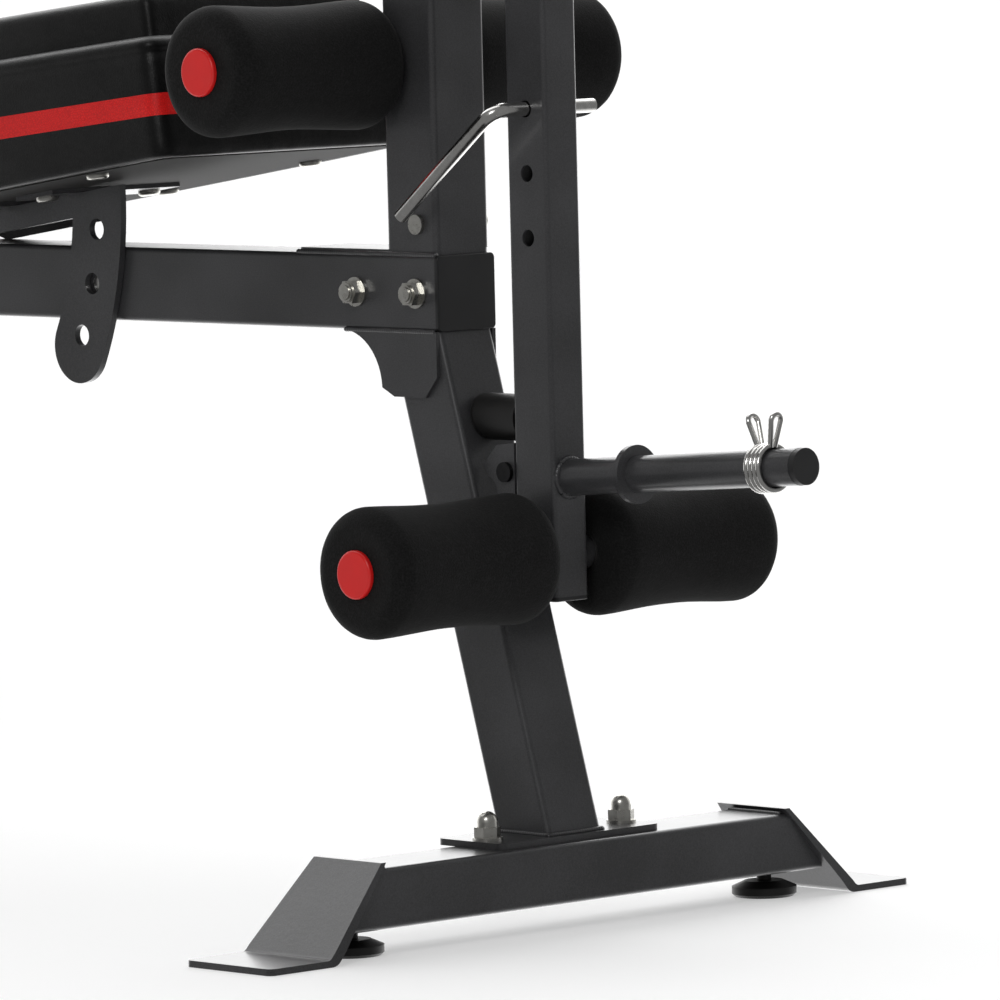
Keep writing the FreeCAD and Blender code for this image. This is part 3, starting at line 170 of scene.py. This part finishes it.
# %% Moulded polypropylene
def moulded_plastic(name, hex_code, worn, rough, grain, depth):
    finish, tree, place = start_finish(name)
    patch = add_node(tree, "ShaderNodeTexNoise", {"Vector": place, "Scale": 1 / mm(25), "Detail": 3.0})
    tint = add_node(tree, "ShaderNodeMixRGB", {"Fac": patch.outputs["Fac"], "Color1": linear(hex_code),
                                               "Color2": linear(worn)})
    spark = add_node(tree, "ShaderNodeTexNoise", {"Vector": place, "Scale": 1 / mm(grain), "Detail": 2.0})
    skin = add_node(tree, "ShaderNodeBump", {"Height": spark.outputs["Fac"], "Strength": 0.4,
                                             "Distance": mm(depth)})
    gloss = add_node(tree, "ShaderNodeMapRange",
                     {"Value": patch.outputs["Fac"], "To Min": rough - 0.06, "To Max": rough + 0.08})
    end_finish(tree, {"Base Color": tint.outputs["Color"], "Roughness": gloss.outputs["Result"],
                      "IOR": 1.49, "Normal": skin.outputs["Normal"]})
    return finish


black_polypropylene = moulded_plastic("black_polypropylene", "#161617", "#202021", 0.42, 0.6, 0.08)
red_polypropylene = moulded_plastic("red_polypropylene", "#DA1C1A", "#C41616", 0.32, 0.8, 0.05)
print("made", black_polypropylene.name, "and", red_polypropylene.name)

# %% [markdown]
# The feet and the bumper are black rubber: matt, slightly dusty, with a soft pebbled skin.

# %% Black rubber
black_rubber = moulded_plastic("black_rubber", "#101010", "#1A1918", 0.5, 1.1, 0.12)
print("made", black_rubber.name)

# %% [markdown]
# The rollers are closed-cell NBR foam. Cutting and moulding leave open cells that scatter light,
# so the surface is almost without gloss. The cells are about 1.1 mm, and the colour is darker in
# the middle of each cell: painted shade in the pores. A second, wider noise gives the slightly
# uneven density of foam, and a little sheen lights the rim as short pores do.

# %% Closed-cell roller foam
def cell_foam(name, dark, light):
    finish, tree, place = start_finish(name)
    cells = add_node(tree, "ShaderNodeTexVoronoi", {"Vector": place, "Scale": 1 / mm(1.1)},
                     feature="SMOOTH_F1")
    dense = add_node(tree, "ShaderNodeTexNoise", {"Vector": place, "Scale": 1 / mm(14), "Detail": 5.0,
                                                  "Roughness": 0.65})
    light_patch = add_node(tree, "ShaderNodeMath", {0: dense.outputs["Fac"], 1: 0.35}, operation="MULTIPLY")
    # The colour follows the cell distance, so each pore is darker: painted shade. The density noise adds the
    # foam's real uneven tone.
    pore_shade_and_density = add_node(tree, "ShaderNodeMath", {0: cells.outputs["Distance"], 1: 0.9,
                                              2: light_patch.outputs[0]}, operation="MULTIPLY_ADD")
    tint = add_node(tree, "ShaderNodeValToRGB", {"Fac": pore_shade_and_density.outputs[0]})
    tint.color_ramp.elements[0].position = 0.3
    tint.color_ramp.elements[0].color = linear(dark)
    tint.color_ramp.elements[1].position = 0.9
    tint.color_ramp.elements[1].color = linear(light)
    pores = add_node(tree, "ShaderNodeBump", {"Height": cells.outputs["Distance"], "Strength": 0.55,
                                              "Distance": mm(0.35)})
    lumps = add_node(tree, "ShaderNodeBump", {"Height": dense.outputs["Fac"], "Strength": 0.3,
                                              "Distance": mm(1.0), "Normal": pores.outputs["Normal"]})
    end_finish(tree, {"Base Color": tint.outputs["Color"], "Roughness": 0.88, "IOR": 1.4,
                      "Specular IOR Level": 0.25, "Sheen Weight": 0.04, "Sheen Roughness": 0.5,
                      "Normal": lumps.outputs["Normal"]})
    return finish


roller_foam = cell_foam("nbr_roller_foam", "#0A0A0A", "#1A1A1A")
print("made", roller_foam.name)

# %% [markdown]
# The pads are covered in PVC leathercloth: a plastic skin embossed with a leather grain on a
# knitted back. The grain is a net of valleys around pebbles of about 1.7 mm, which a Voronoi
# pattern gives directly, broken up by noise. Pulling the cover tight leaves long shallow creases
# along the pad, so a second noise is stretched that way. The colour is darker down in the grain
# valleys and in the creases: painted shade. The highlight is soft and wide.

# %% PVC leathercloth
def leathercloth(name, dark, light, rough):
    finish, tree, place = start_finish(name)
    wander = add_node(tree, "ShaderNodeTexNoise", {"Vector": place, "Scale": 1 / mm(5), "Detail": 2.0})
    shift = add_node(tree, "ShaderNodeVectorMath", {0: wander.outputs["Color"],
                                                    1: (mm(1.2), mm(1.2), mm(1.2))}, operation="MULTIPLY")
    bent = add_node(tree, "ShaderNodeVectorMath", {0: place, 1: shift.outputs[0]}, operation="ADD")
    pebble = add_node(tree, "ShaderNodeTexVoronoi", {"Vector": bent.outputs[0], "Scale": 1 / mm(1.7)},
                      feature="DISTANCE_TO_EDGE")
    valley = add_node(tree, "ShaderNodeMapRange", {"Value": pebble.outputs["Distance"],
                                                   "From Min": 0.0, "From Max": 0.22})
    pull = add_node(tree, "ShaderNodeMapping", {"Vector": place, "Scale": (0.35, 1.0, 1.0)})
    patch = add_node(tree, "ShaderNodeTexNoise", {"Vector": pull.outputs["Vector"],
                                                  "Scale": 1 / mm(38), "Detail": 4.0})
    # The colour is darkest where the grain valleys and the creases sink: painted shade in the hollows.
    tone = add_node(tree, "ShaderNodeMath", {0: valley.outputs["Result"], 1: patch.outputs["Fac"]},
                    operation="MULTIPLY")
    tint = add_node(tree, "ShaderNodeValToRGB", {"Fac": tone.outputs[0]})
    tint.color_ramp.elements[0].color = linear(dark)
    tint.color_ramp.elements[1].position = 0.6
    tint.color_ramp.elements[1].color = linear(light)
    grain = add_node(tree, "ShaderNodeBump", {"Height": valley.outputs["Result"], "Strength": 0.3,
                                              "Distance": mm(0.18)})
    creases = add_node(tree, "ShaderNodeBump", {"Height": patch.outputs["Fac"], "Strength": 0.5,
                                                "Distance": mm(3.0), "Normal": grain.outputs["Normal"]})
    gloss = add_node(tree, "ShaderNodeMapRange",
                     {"Value": patch.outputs["Fac"], "To Min": rough - 0.05, "To Max": rough + 0.08})
    end_finish(tree, {"Base Color": tint.outputs["Color"], "Roughness": gloss.outputs["Result"],
                      "IOR": 1.5, "Specular IOR Level": 0.3, "Normal": creases.outputs["Normal"]})
    return finish


black_leathercloth = leathercloth("black_leathercloth", "#050505", "#101010", 0.38)
red_leathercloth = leathercloth("red_leathercloth", "#B80D0D", "#DA1512", 0.46)
print("made", black_leathercloth.name, "and", red_leathercloth.name)

# %% [markdown]
# The boards under the pads are pressed wood fibre, painted black. Fibres a few millimetres long
# still show through the thin paint, so the noise is stretched along one direction.

# %% Painted fibreboard
def fibreboard(name, dark, light):
    finish, tree, place = start_finish(name)
    stretch = add_node(tree, "ShaderNodeMapping", {"Vector": place, "Scale": (0.3, 1.0, 1.0)})
    fibre = add_node(tree, "ShaderNodeTexNoise", {"Vector": stretch.outputs["Vector"],
                                                  "Scale": 1 / mm(1.4), "Detail": 5.0})
    tint = add_node(tree, "ShaderNodeValToRGB", {"Fac": fibre.outputs["Fac"]})
    tint.color_ramp.elements[0].color = linear(dark)
    tint.color_ramp.elements[1].color = linear(light)
    skin = add_node(tree, "ShaderNodeBump", {"Height": fibre.outputs["Fac"], "Strength": 0.4,
                                             "Distance": mm(0.2)})
    end_finish(tree, {"Base Color": tint.outputs["Color"], "Roughness": 0.7,
                      "Normal": skin.outputs["Normal"]})
    return finish


painted_board = fibreboard("painted_fibreboard", "#121110", "#262422")
print("made", painted_board.name)

# %% [markdown]
# Each solid now takes the finish its record slot stands for. The pins and the collar are brighter
# than the bolts, and the bolt of the hook plate takes a darker steel finish, so they are named apart.

# %% Give the solids their finishes
slot_finish = {
    "frame_paint": charcoal_coat, "zinc_steel": zinc_plate, "black_plastic": black_polypropylene,
    "red_plastic": red_polypropylene, "black_rubber": black_rubber, "roller_foam": roller_foam,
    "pad_cover": black_leathercloth, "board": painted_board,
}
chromed = ("l_pin", "spring_collar", "seat_lock_pin", "back_lock_pin")
slots = {part["node"]: part["material_slot"] for part in frame["record"]["subparts"]}
for name in frame["nodes"]:
    solid = bpy.data.objects[name]
    finish = bright_pin if name in chromed else slot_finish[slots[name]]
    finish = dark_plated if name == "hook_bolt" else finish
    solid.data.materials.clear()
    solid.data.materials.append(finish)
print("finished", len(slots), "solids")

# %% [markdown]
# ## Camera, floor and light
# The camera is a long lens a few metres away, near the height of the seat, looking down the
# bench from the foot end. It is placed from the middle of the front crossbar.

# %% Camera
def box_corners(name):
    low, high = (Vector(corner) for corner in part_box(name))
    return low, high


def middle(name):
    low, high = box_corners(name)
    return (low + high) / 2


yaw, pitch, roll = (math.radians(angle) for angle in (46.51, -4.43, 1.39))
view_way = Vector((-math.sin(yaw) * math.cos(pitch), math.cos(yaw) * math.cos(pitch), math.sin(pitch)))
level_right = Vector((math.cos(yaw), math.sin(yaw), 0))
level_up = level_right.cross(view_way)
right = level_right * math.cos(roll) - level_up * math.sin(roll)
up = level_right * math.sin(roll) + level_up * math.cos(roll)
bar_x = middle("front_crossbar").x
camera_place = (bar_x + 4.29864, -4.12639, 0.75148)
floor_size = 160
floor_drop = mm(0.2)

lens = bpy.data.cameras.new("view")
lens.sensor_width = 36
lens.lens = 318.2
lens.clip_end = 500
camera = bpy.data.objects.new("view", lens)
turn = Matrix((right, up, -view_way)).transposed().to_4x4()
camera.matrix_world = Matrix.Translation(camera_place) @ turn
bpy.context.scene.collection.objects.link(camera)
bpy.context.scene.camera = camera
print("camera at", [round(value, 3) for value in camera.location])

# %% [markdown]
# The bench stands in a white studio. The wall behind it is bright and the side nearer the camera
# is dim, so faces seen at a shallow angle mirror the wall and near faces stay dark. A wide soft
# sun from behind makes the shadows, and one small panel near the camera puts a glint on the nuts
# and pins. The floor glows a little, so it stays white between the shadows.

# %% Floor, sky and lamps
def flat_square(name, size, height):
    mesh = bpy.data.meshes.new(name)
    half = size / 2
    corners = [(-half, -half, height), (half, -half, height), (half, half, height), (-half, half, height)]
    mesh.from_pydata(corners, [], [(0, 1, 2, 3)])
    made = bpy.data.objects.new(name, mesh)
    bpy.context.scene.collection.objects.link(made)
    return made


floor_finish, floor_tree, floor_place = start_finish("white_floor")
floor_tone = add_node(floor_tree, "ShaderNodeTexNoise", {"Vector": floor_place, "Scale": 0.5})
floor_tint = add_node(floor_tree, "ShaderNodeMixRGB", {"Fac": floor_tone.outputs["Fac"],
                                                       "Color1": linear("#C8C8C8"),
                                                       "Color2": linear("#C4C4C4")})
end_finish(floor_tree, {"Base Color": floor_tint.outputs["Color"], "Roughness": 0.9,
                        "Emission Color": linear("#FFFFFF"), "Emission Strength": 0.42})
floor = flat_square("floor", floor_size, -floor_drop)
floor.visible_glossy = False
floor.data.materials.append(floor_finish)

sky = bpy.data.worlds.new("white_studio")
sky.use_nodes = True
studio = sky.node_tree
heading = add_node(studio, "ShaderNodeTexCoord").outputs["Generated"]
facing = add_node(studio, "ShaderNodeVectorMath", {0: heading, 1: tuple(view_way)}, operation="DOT_PRODUCT")
wall = add_node(studio, "ShaderNodeMapRange", {"Value": facing.outputs["Value"], "From Min": 0.15,
                                               "From Max": 0.9, "To Min": 0.2, "To Max": 2.3})
backdrop = studio.nodes["Background"]
backdrop.inputs["Color"].default_value = linear("#FFFFFF")
studio.links.new(wall.outputs["Result"], backdrop.inputs["Strength"])
bpy.context.scene.world = sky

sun = bpy.data.lights.new("overhead", "SUN")
sun.energy = 1.3
sun.angle = math.radians(70)
overhead = bpy.data.objects.new("overhead", sun)
sun_way = Vector((-0.5, 0.3, 1))
overhead.rotation_euler = sun_way.to_track_quat("Z", "Y").to_euler()
bpy.context.scene.collection.objects.link(overhead)
bpy.context.scene.view_settings.view_transform = "Standard"

near = bpy.data.lights.new("near_panel", "AREA")
near.shape = "SQUARE"
near.size = 1.1
near.energy = 32
near_panel = bpy.data.objects.new("near_panel", near)
near_panel.location = (bar_x + 1.6, -2.8, 2.4)
panel_way = near_panel.location - Vector((bar_x, 0, 0.3))
near_panel.rotation_euler = panel_way.to_track_quat("Z", "Y").to_euler()
bpy.context.scene.collection.objects.link(near_panel)
print("sun strength", sun.energy, "panel power", near.energy)

# %% [markdown]
# ## Foam rollers
# A roller is a thick foam tube, moulded with rounded ends and a slight waist, so a lathe-like
# ring mesh suits it better than sculpting. Its radius wanders by a few tenths of a millimetre,
# because foam is never quite round.

# %% Ring meshes
def ring_mesh(name, rings, finish, close_ends=False):
    """A quad mesh through a list of equal closed rings, one after the other."""
    count = len(rings[0])
    points = [point for ring in rings for point in ring]
    faces = []
    for step in range(len(rings) - 1):
        for index in range(count):
            after = (index + 1) % count
            faces.append((step * count + index, step * count + after,
                          (step + 1) * count + after, (step + 1) * count + index))
    if close_ends:
        faces.append(tuple(reversed(range(count))))
        faces.append(tuple(range((len(rings) - 1) * count, len(rings) * count)))
    mesh = bpy.data.meshes.new(name)
    mesh.from_pydata(points, [], faces)
    mesh.materials.append(finish)
    mesh.polygons.foreach_set("use_smooth", [True] * len(mesh.polygons))
    mesh.update()
    made = bpy.data.objects.new(name, mesh)
    bpy.context.scene.collection.objects.link(made)
    return made


# %% Shape of one roller
roller_count = 112
roller_bore = mm(12.4)
roller_rounding = mm(13)
roller_waist = mm(2.8)
roller_wander = mm(0.45)


def roller_profile(radius, half):
    """(distance from the middle, radius) pairs, from one end of the bore round to the other."""
    soft = roller_rounding
    pairs = [(-half + mm(4), roller_bore), (-half + mm(0.8), roller_bore + mm(0.4)),
             (-half + mm(0.2), roller_bore + mm(4)), (-half + mm(0.4), roller_bore + mm(12))]
    for step in range(9):
        angle = math.pi / 2 * step / 8
        pairs.append((-half + soft - soft * math.cos(angle), radius - soft + soft * math.sin(angle)))
    for step in range(1, 12):
        along = -1 + 2 * step / 12
        waist = roller_waist * math.cos(along * math.pi / 2) ** 1.5
        pairs.append((along * (half - soft), radius - waist))
    return pairs + [(-away, size) for away, size in reversed(pairs[:13])]


def roller_rings(centre, radius, half, seed):
    rings = []
    for away, size in roller_profile(radius, half):
        ring = []
        for index in range(roller_count):
            angle = 2 * math.pi * index / roller_count
            spot = Vector((math.cos(angle), away * 20, math.sin(angle) + seed))
            soft = size + (roller_wander * noise.noise(spot * 1.3) if size > roller_bore * 1.5 else 0)
            ring.append((centre.x + soft * math.cos(angle), centre.y + away,
                         centre.z + soft * math.sin(angle)))
        rings.append(ring)
    return rings


# %% Make the four rollers
node_body = {node: body for body, names in frame["record"]["behaviour"]["bodies"].items() for node in names}
for number, node in enumerate(("upper_roller_left", "upper_roller_right",
                               "lower_roller_left", "lower_roller_right")):
    low, high = box_corners(node)
    rings = roller_rings((low + high) / 2, (high.z - low.z) / 2, (high.y - low.y) / 2, number * 7.3)
    roller = ring_mesh("foam_" + node, rings, roller_foam)
    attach(roller, node_body[node])
    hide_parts(node)
print("rollers", number + 1, "points each", len(roller.data.vertices))

# %% [markdown]
# ## Pads
# Each pad is a foam block glued to a board, with a smaller block on top, in a sewn cover with a
# red band let into its side. The cover is cut as flat panels and pulled tight, so it swells
# between the seams and is held in at them. The mesh is built as rings that follow the outline,
# and the rings on seams are held while a cloth simulation blows the panels out.

# %% Outline of a pad
end_steps, corner_steps, long_steps = 30, 12, 60
pad_bulge = mm(3.5)
least_corner = mm(3)


def side_points(start, through, end, steps):
    """Points on a bowed line through three places."""
    found = []
    for step in range(steps):
        share = step / steps
        base = start.lerp(end, share)
        bow = (through - (start + end) / 2) * (4 * share * (1 - share))
        found.append(base + bow)
    return found


def corner_points(centre, radius, first, steps):
    return [centre + Vector((math.cos(first + math.pi / 2 * step / steps),
                             math.sin(first + math.pi / 2 * step / steps))) * radius
            for step in range(steps)]


def evenly(points, count):
    """The same closed line with evenly spaced points."""
    lengths = [0.0]
    for first, second in zip(points, points[1:] + points[:1]):
        lengths.append(lengths[-1] + (second - first).length)
    found = []
    step = 0
    for index in range(count):
        want = lengths[-1] * index / count
        while lengths[step + 1] < want:
            step += 1
        share = (want - lengths[step]) / (lengths[step + 1] - lengths[step])
        found.append(points[step].lerp(points[(step + 1) % len(points)], share))
    return found


def pad_outline(pad, inset, count):
    """The pad's outline drawn in by inset; the near end is at x = 0 and the far end at -length."""
    near, far = pad["near"] / 2 - inset, pad["far"] / 2 - inset
    x0, x1 = -inset, -pad["length"] + inset
    corner = max(pad["corner"] - inset * 0.35, least_corner)
    bulge = (near + far) / 2 + pad_bulge
    points = []
    points += side_points(Vector((x0, -near + corner)), Vector((x0, 0)), Vector((x0, near - corner)),
                          end_steps)
    points += corner_points(Vector((x0 - corner, near - corner)), corner, 0, corner_steps)
    points += side_points(Vector((x0 - corner, near)), Vector(((x0 + x1) / 2, bulge)),
                          Vector((x1 + corner, far)), long_steps)
    points += corner_points(Vector((x1 + corner, far - corner)), corner, math.pi / 2, corner_steps)
    points += side_points(Vector((x1, far - corner)), Vector((x1, 0)), Vector((x1, -far + corner)),
                          end_steps)
    points += corner_points(Vector((x1 + corner, -far + corner)), corner, math.pi, corner_steps)
    points += side_points(Vector((x1 + corner, -far)), Vector(((x0 + x1) / 2, -bulge)),
                          Vector((x0 - corner, -near)), long_steps)
    points += corner_points(Vector((x0 - corner, -near + corner)), corner, -math.pi / 2, corner_steps)
    return evenly(points, count)


# %% [markdown]
# The side of a pad is a list of rings from the board upwards: how far each is drawn in, how high
# it stands, and whether it lies on a seam. A seam sits a little deeper than its panels.

# %% Side rings of a pad
def pad_side(lower, upper, band_low, band_high, tier_inset):
    """(inset, height, on a seam) from the hollow for the board up to the edge of the top."""
    rings = [(14.3, 12.0, True), (14.2, 1.0, True), (9.0, 0.4, True), (3.5, 0.4, True), (1.4, 2.0, True)]
    for share in (0.2, 0.4, 0.6, 0.8):
        rings.append((0.6, 2 + (band_low - 2) * share, False))
    rings.append((1.0, band_low, True))
    rings.append((0.8, band_low + 1.2, False))
    rings.append((0.7, (band_low + band_high) / 2, False))
    rings.append((0.8, band_high - 1.2, False))
    rings.append((1.0, band_high, True))
    for share in (0.15, 0.32, 0.5, 0.68, 0.85):
        rings.append((0.6, band_high + (lower - 10 - band_high) * share, False))
    rings += [(2.2, lower - 9.5, True), (0.4, lower - 7.5, False), (0.2, lower - 4.5, False),
              (1.4, lower - 1.6, False), (4.5, lower + 0.8, False), (10.0, lower + 2.0, False),
              (16.0, lower + 1.6, False), (21.5, lower - 0.2, False), (tier_inset, lower - 2.2, True)]
    for share in (0.2, 0.4, 0.6, 0.8):
        rings.append((tier_inset - 0.2, lower + upper * share, False))
    rings += [(tier_inset + 1.2, lower + upper - 3.2, False), (tier_inset + 3.6, lower + upper - 1.0, False),
              (tier_inset + 7.5, lower + upper, False)]
    return [(mm(inset), mm(height), seam) for inset, height, seam in rings]


def inner_rings(outline, height, rows):
    """Rings that shrink from an outline to a line along its middle, so the top closes neatly."""
    xs = [point.x for point in outline]
    half = max(point.y for point in outline)
    low, high = min(xs) + half, max(xs) - half
    found = []
    for row in range(1, rows + 1):
        share = row / rows
        ring = []
        for point in outline:
            spine = Vector((min(max(point.x, low), high), 0))
            here = point.lerp(spine, share)
            ring.append((here.x, here.y, height + mm(1.5) * math.sin(share * math.pi / 2)))
        found.append(ring)
    return found


# %% Blow out the panels
def swell(piece, held, push, frames, cap):
    """Cloth with air pressure inside it; held points stay, and no point moves further than cap."""
    start = [vertex.co.copy() for vertex in piece.data.vertices]
    group = piece.vertex_groups.new(name="seams")
    group.add(held, 1.0, "REPLACE")
    cloth = piece.modifiers.new("cover", "CLOTH")
    cloth.settings.vertex_group_mass = group.name
    cloth.settings.use_pressure = True
    cloth.settings.uniform_pressure_force = push
    cloth.settings.effector_weights.gravity = 0
    cloth.settings.quality = 4
    cloth.settings.mass = 0.3
    cloth.settings.tension_stiffness = 25
    cloth.settings.bending_stiffness = 2.0
    cloth.settings.shrink_min = -0.006
    cloth.point_cache.frame_start = 1
    cloth.point_cache.frame_end = frames
    scene = bpy.context.scene
    for step in range(1, frames + 1):
        scene.frame_set(step)
    shaped = piece.evaluated_get(bpy.context.evaluated_depsgraph_get()).data
    moved = [vertex.co.copy() for vertex in shaped.vertices]
    piece.modifiers.remove(cloth)
    piece.vertex_groups.remove(group)
    scene.frame_set(1)
    for vertex, before, after in zip(piece.data.vertices, start, moved):
        shift = after - before
        if shift.length > cap:
            shift = shift * (cap / shift.length)
        vertex.co = before + shift
    piece.data.update()


# %% Build one pad
swell_frames = 20


def make_pad(name, node, pad, place):
    count = pad["count"]
    side = pad_side(pad["lower"], pad["upper"], pad["band"][0], pad["band"][1], pad["tier_inset"])
    rings, held = [], []
    for inset, height, seam in side:
        if seam:
            held += range(len(rings) * count, (len(rings) + 1) * count)
        rings.append([(point.x, point.y, height) for point in pad_outline(pad, inset, count)])
    top = [Vector((x, y)) for x, y, z in rings[-1]]
    rings += inner_rings(top, rings[-1][0][2], pad["rows"])
    rings = [[(x, y, z + pad["wedge"] * (-x - pad["length"] / 2) * min(z / mm(pad["band"][0]), 1))
              for x, y, z in ring] for ring in rings]
    piece = ring_mesh(name, rings, black_leathercloth)
    piece.data.materials.append(red_leathercloth)
    band = [index for index, ring in enumerate(side) if mm(pad["band"][0]) <= ring[1] < mm(pad["band"][1])]
    band = [index for index in band if side[index][0] < mm(2)]
    for index in band:
        for face in range(index * count, (index + 1) * count):
            piece.data.polygons[face].material_index = 1
    swell(piece, held, pad["push"], swell_frames, mm(pad["cap"]))
    piece.data.transform(place)
    finer = piece.modifiers.new("smooth", "SUBSURF")
    finer.levels = 1
    finer.render_levels = 1
    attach(piece, node_body[node])
    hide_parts(node)
    print(name, "points", len(piece.data.vertices), "band rings", band)


# %% [markdown]
# The two pads are the same kind of cover at two sizes. Their places come from the hinges of the
# record: the seat slopes down from its front edge, and the backrest leans back from its hinge.

# %% Make both pads
joints = {joint["name"]: joint for joint in frame["record"]["behaviour"]["joints"]}
seat_hinge = Vector(joints["seat_tilt"]["pos_m"])
back_hinge = Vector(joints["back_recline"]["pos_m"])

seat_pad = {"length": mm(356), "near": mm(250), "far": mm(262), "corner": mm(9), "lower": 89, "upper": 33,
            "wedge": 0.033, "band": (36, 50), "tier_inset": 24, "count": 200, "rows": 14, "push": 4.0,
            "cap": 6}
seat_place = (Matrix.Translation(seat_hinge + Vector((mm(416), 0, mm(37))))
              @ Matrix.Rotation(math.radians(-8.3), 4, "Y"))
make_pad("seat_cover", "seat_cushion", seat_pad, seat_place)

back_pad = {"length": mm(700), "near": mm(262), "far": mm(236), "corner": mm(30), "lower": 46, "upper": 24,
            "wedge": 0.0, "band": (15, 27), "tier_inset": 24, "count": 280, "rows": 14, "push": 4.0, "cap": 6}
back_place = (Matrix.Translation(back_hinge) @ Matrix.Rotation(math.radians(30), 4, "Y")
              @ Matrix.Translation((-mm(10), 0, mm(20))))
make_pad("back_cover", "back_cushion", back_pad, back_place)

# %% [markdown]
# ## Weld beads
# The frame is welded from tubes and plates, and a coat over a weld still shows its ripples. A
# bead is a thin tube along the joint whose radius rises and falls every 2.2 mm.

# %% A rippled bead along a line
bead_step = mm(0.7)
ripple_length = mm(2.2)
bead_gap = mm(0.3)


def bead_points(corners, closed, spacing):
    ends = corners + corners[:1] if closed else corners
    found = []
    for first, second in zip(ends, ends[1:]):
        run = second - first
        steps = max(int(run.length / spacing), 1)
        found += [first + run * (step / steps) for step in range(steps)]
    return found if closed else found + [ends[-1]]


def weld_bead(name, body, corners, closed=True, radius=2.0):
    points = bead_points([Vector(corner) for corner in corners], closed, bead_step)
    rings = []
    total = len(points)
    for index, point in enumerate(points):
        before = points[index - 1] if index or closed else point
        after = points[(index + 1) % total] if index + 1 < total or closed else point
        along = (after - before).normalized()
        side = along.orthogonal().normalized()
        lift = along.cross(side)
        ripple = 0.82 + 0.18 * abs(math.sin(index * bead_step / ripple_length * math.pi))
        size = mm(radius) * ripple * (1 + 0.12 * noise.noise(point * 90))
        rings.append([point + (side * math.cos(angle) + lift * math.sin(angle)) * size
                      for angle in (math.pi / 4 * corner for corner in range(8))])
    if closed:
        rings.append(rings[0])
    bead = ring_mesh(name, rings, charcoal_coat, close_ends=not closed)
    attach(bead, body)


# %% Beads on the posts
plate_inner_y = mm(190)
plate_setback = mm(3)
gusset_run = mm(92)
gusset_margin = mm(2)


def rectangle(x0, x1, y0, y1, z):
    return [(x0, y0, z), (x1, y0, z), (x1, y1, z), (x0, y1, z)]


def slanted_foot(post, outward):
    """Where a leaning post meets its base plate: its two x limits, its half width and height."""
    low, high = box_corners(post)
    width = high.y - low.y
    rise = high.z - low.z
    lean = math.atan2((high.x - low.x) - width * 1.04, rise)
    depth = width / math.cos(lean)
    edge = high.x if outward > 0 else low.x
    return min(edge, edge - outward * depth), max(edge, edge - outward * depth), width / 2, low.z


for end, outward in (("front", 1), ("rear", -1)):
    x0, x1, half, z = slanted_foot(end + "_post", outward)
    weld_bead(end + "_post_bead", "bench_frame", rectangle(x0, x1, -half, half, z + mm(0.6)))
    low, high = box_corners(end + "_crossbar")
    for side in (-1, 1):
        top_y = side * (plate_inner_y - plate_setback)
        weld_bead(end + ("_left" if side < 0 else "_right") + "_plate_bead", "bench_frame",
                  [(low.x + plate_setback, top_y, high.z), (high.x - plate_setback, top_y, high.z)],
                  closed=False)

# %% Beads on the beam and the upper post
base_low, base_high = box_corners("upper_post_foot")
foot_y = -base_high.y - mm(0.2)
foot_z = base_low.z + mm(0.4)
weld_bead("upper_post_foot_bead", "bench_frame",
          [(base_low.x, foot_y, foot_z), (base_high.x, foot_y, foot_z)], closed=False)
gusset_low, gusset_high = box_corners("post_gussets")
beam_high = box_corners("main_beam")[1]
for end, x0, x1 in (("front", gusset_high.x - gusset_run, gusset_high.x - gusset_margin),
                    ("rear", gusset_low.x + gusset_margin, gusset_low.x + gusset_run)):
    for side in (-1, 1):
        weld_bead(end + ("_right" if side < 0 else "_left") + "_gusset_bead", "bench_frame",
                  [(x0, side * beam_high.y, gusset_high.z), (x1, side * beam_high.y, gusset_high.z)],
                  closed=False, radius=1.8)

# %% [markdown]
# Round bars and tubes are welded all the way round, so their beads are closed rings.

# %% Ring beads on the arm
def ring_points(centre, across, up, radius, count=36):
    return [Vector(centre) + (Vector(across) * math.cos(angle) + Vector(up) * math.sin(angle)) * radius
            for angle in (2 * math.pi * step / count for step in range(count))]


arm_high = box_corners("leg_arm")[1]
weight_root = arm_high.x + bead_gap
weight_post_height = mm(305)
weight_bead_radius = mm(12.8)
bar_bead_radius = mm(12.3)
weld_bead("weight_post_bead", "leg_developer",
          ring_points((weight_root, 0, weight_post_height), (0, 1, 0), (0, 0, 1), weight_bead_radius),
          radius=2.2)
lower_bar = middle("lower_roller_bar")
for side in (-1, 1):
    weld_bead(("right" if side < 0 else "left") + "_roller_bar_bead", "leg_developer",
              ring_points((lower_bar.x, side * (arm_high.y + bead_gap), lower_bar.z), (1, 0, 0), (0, 0, 1),
                          bar_bead_radius), radius=1.8)
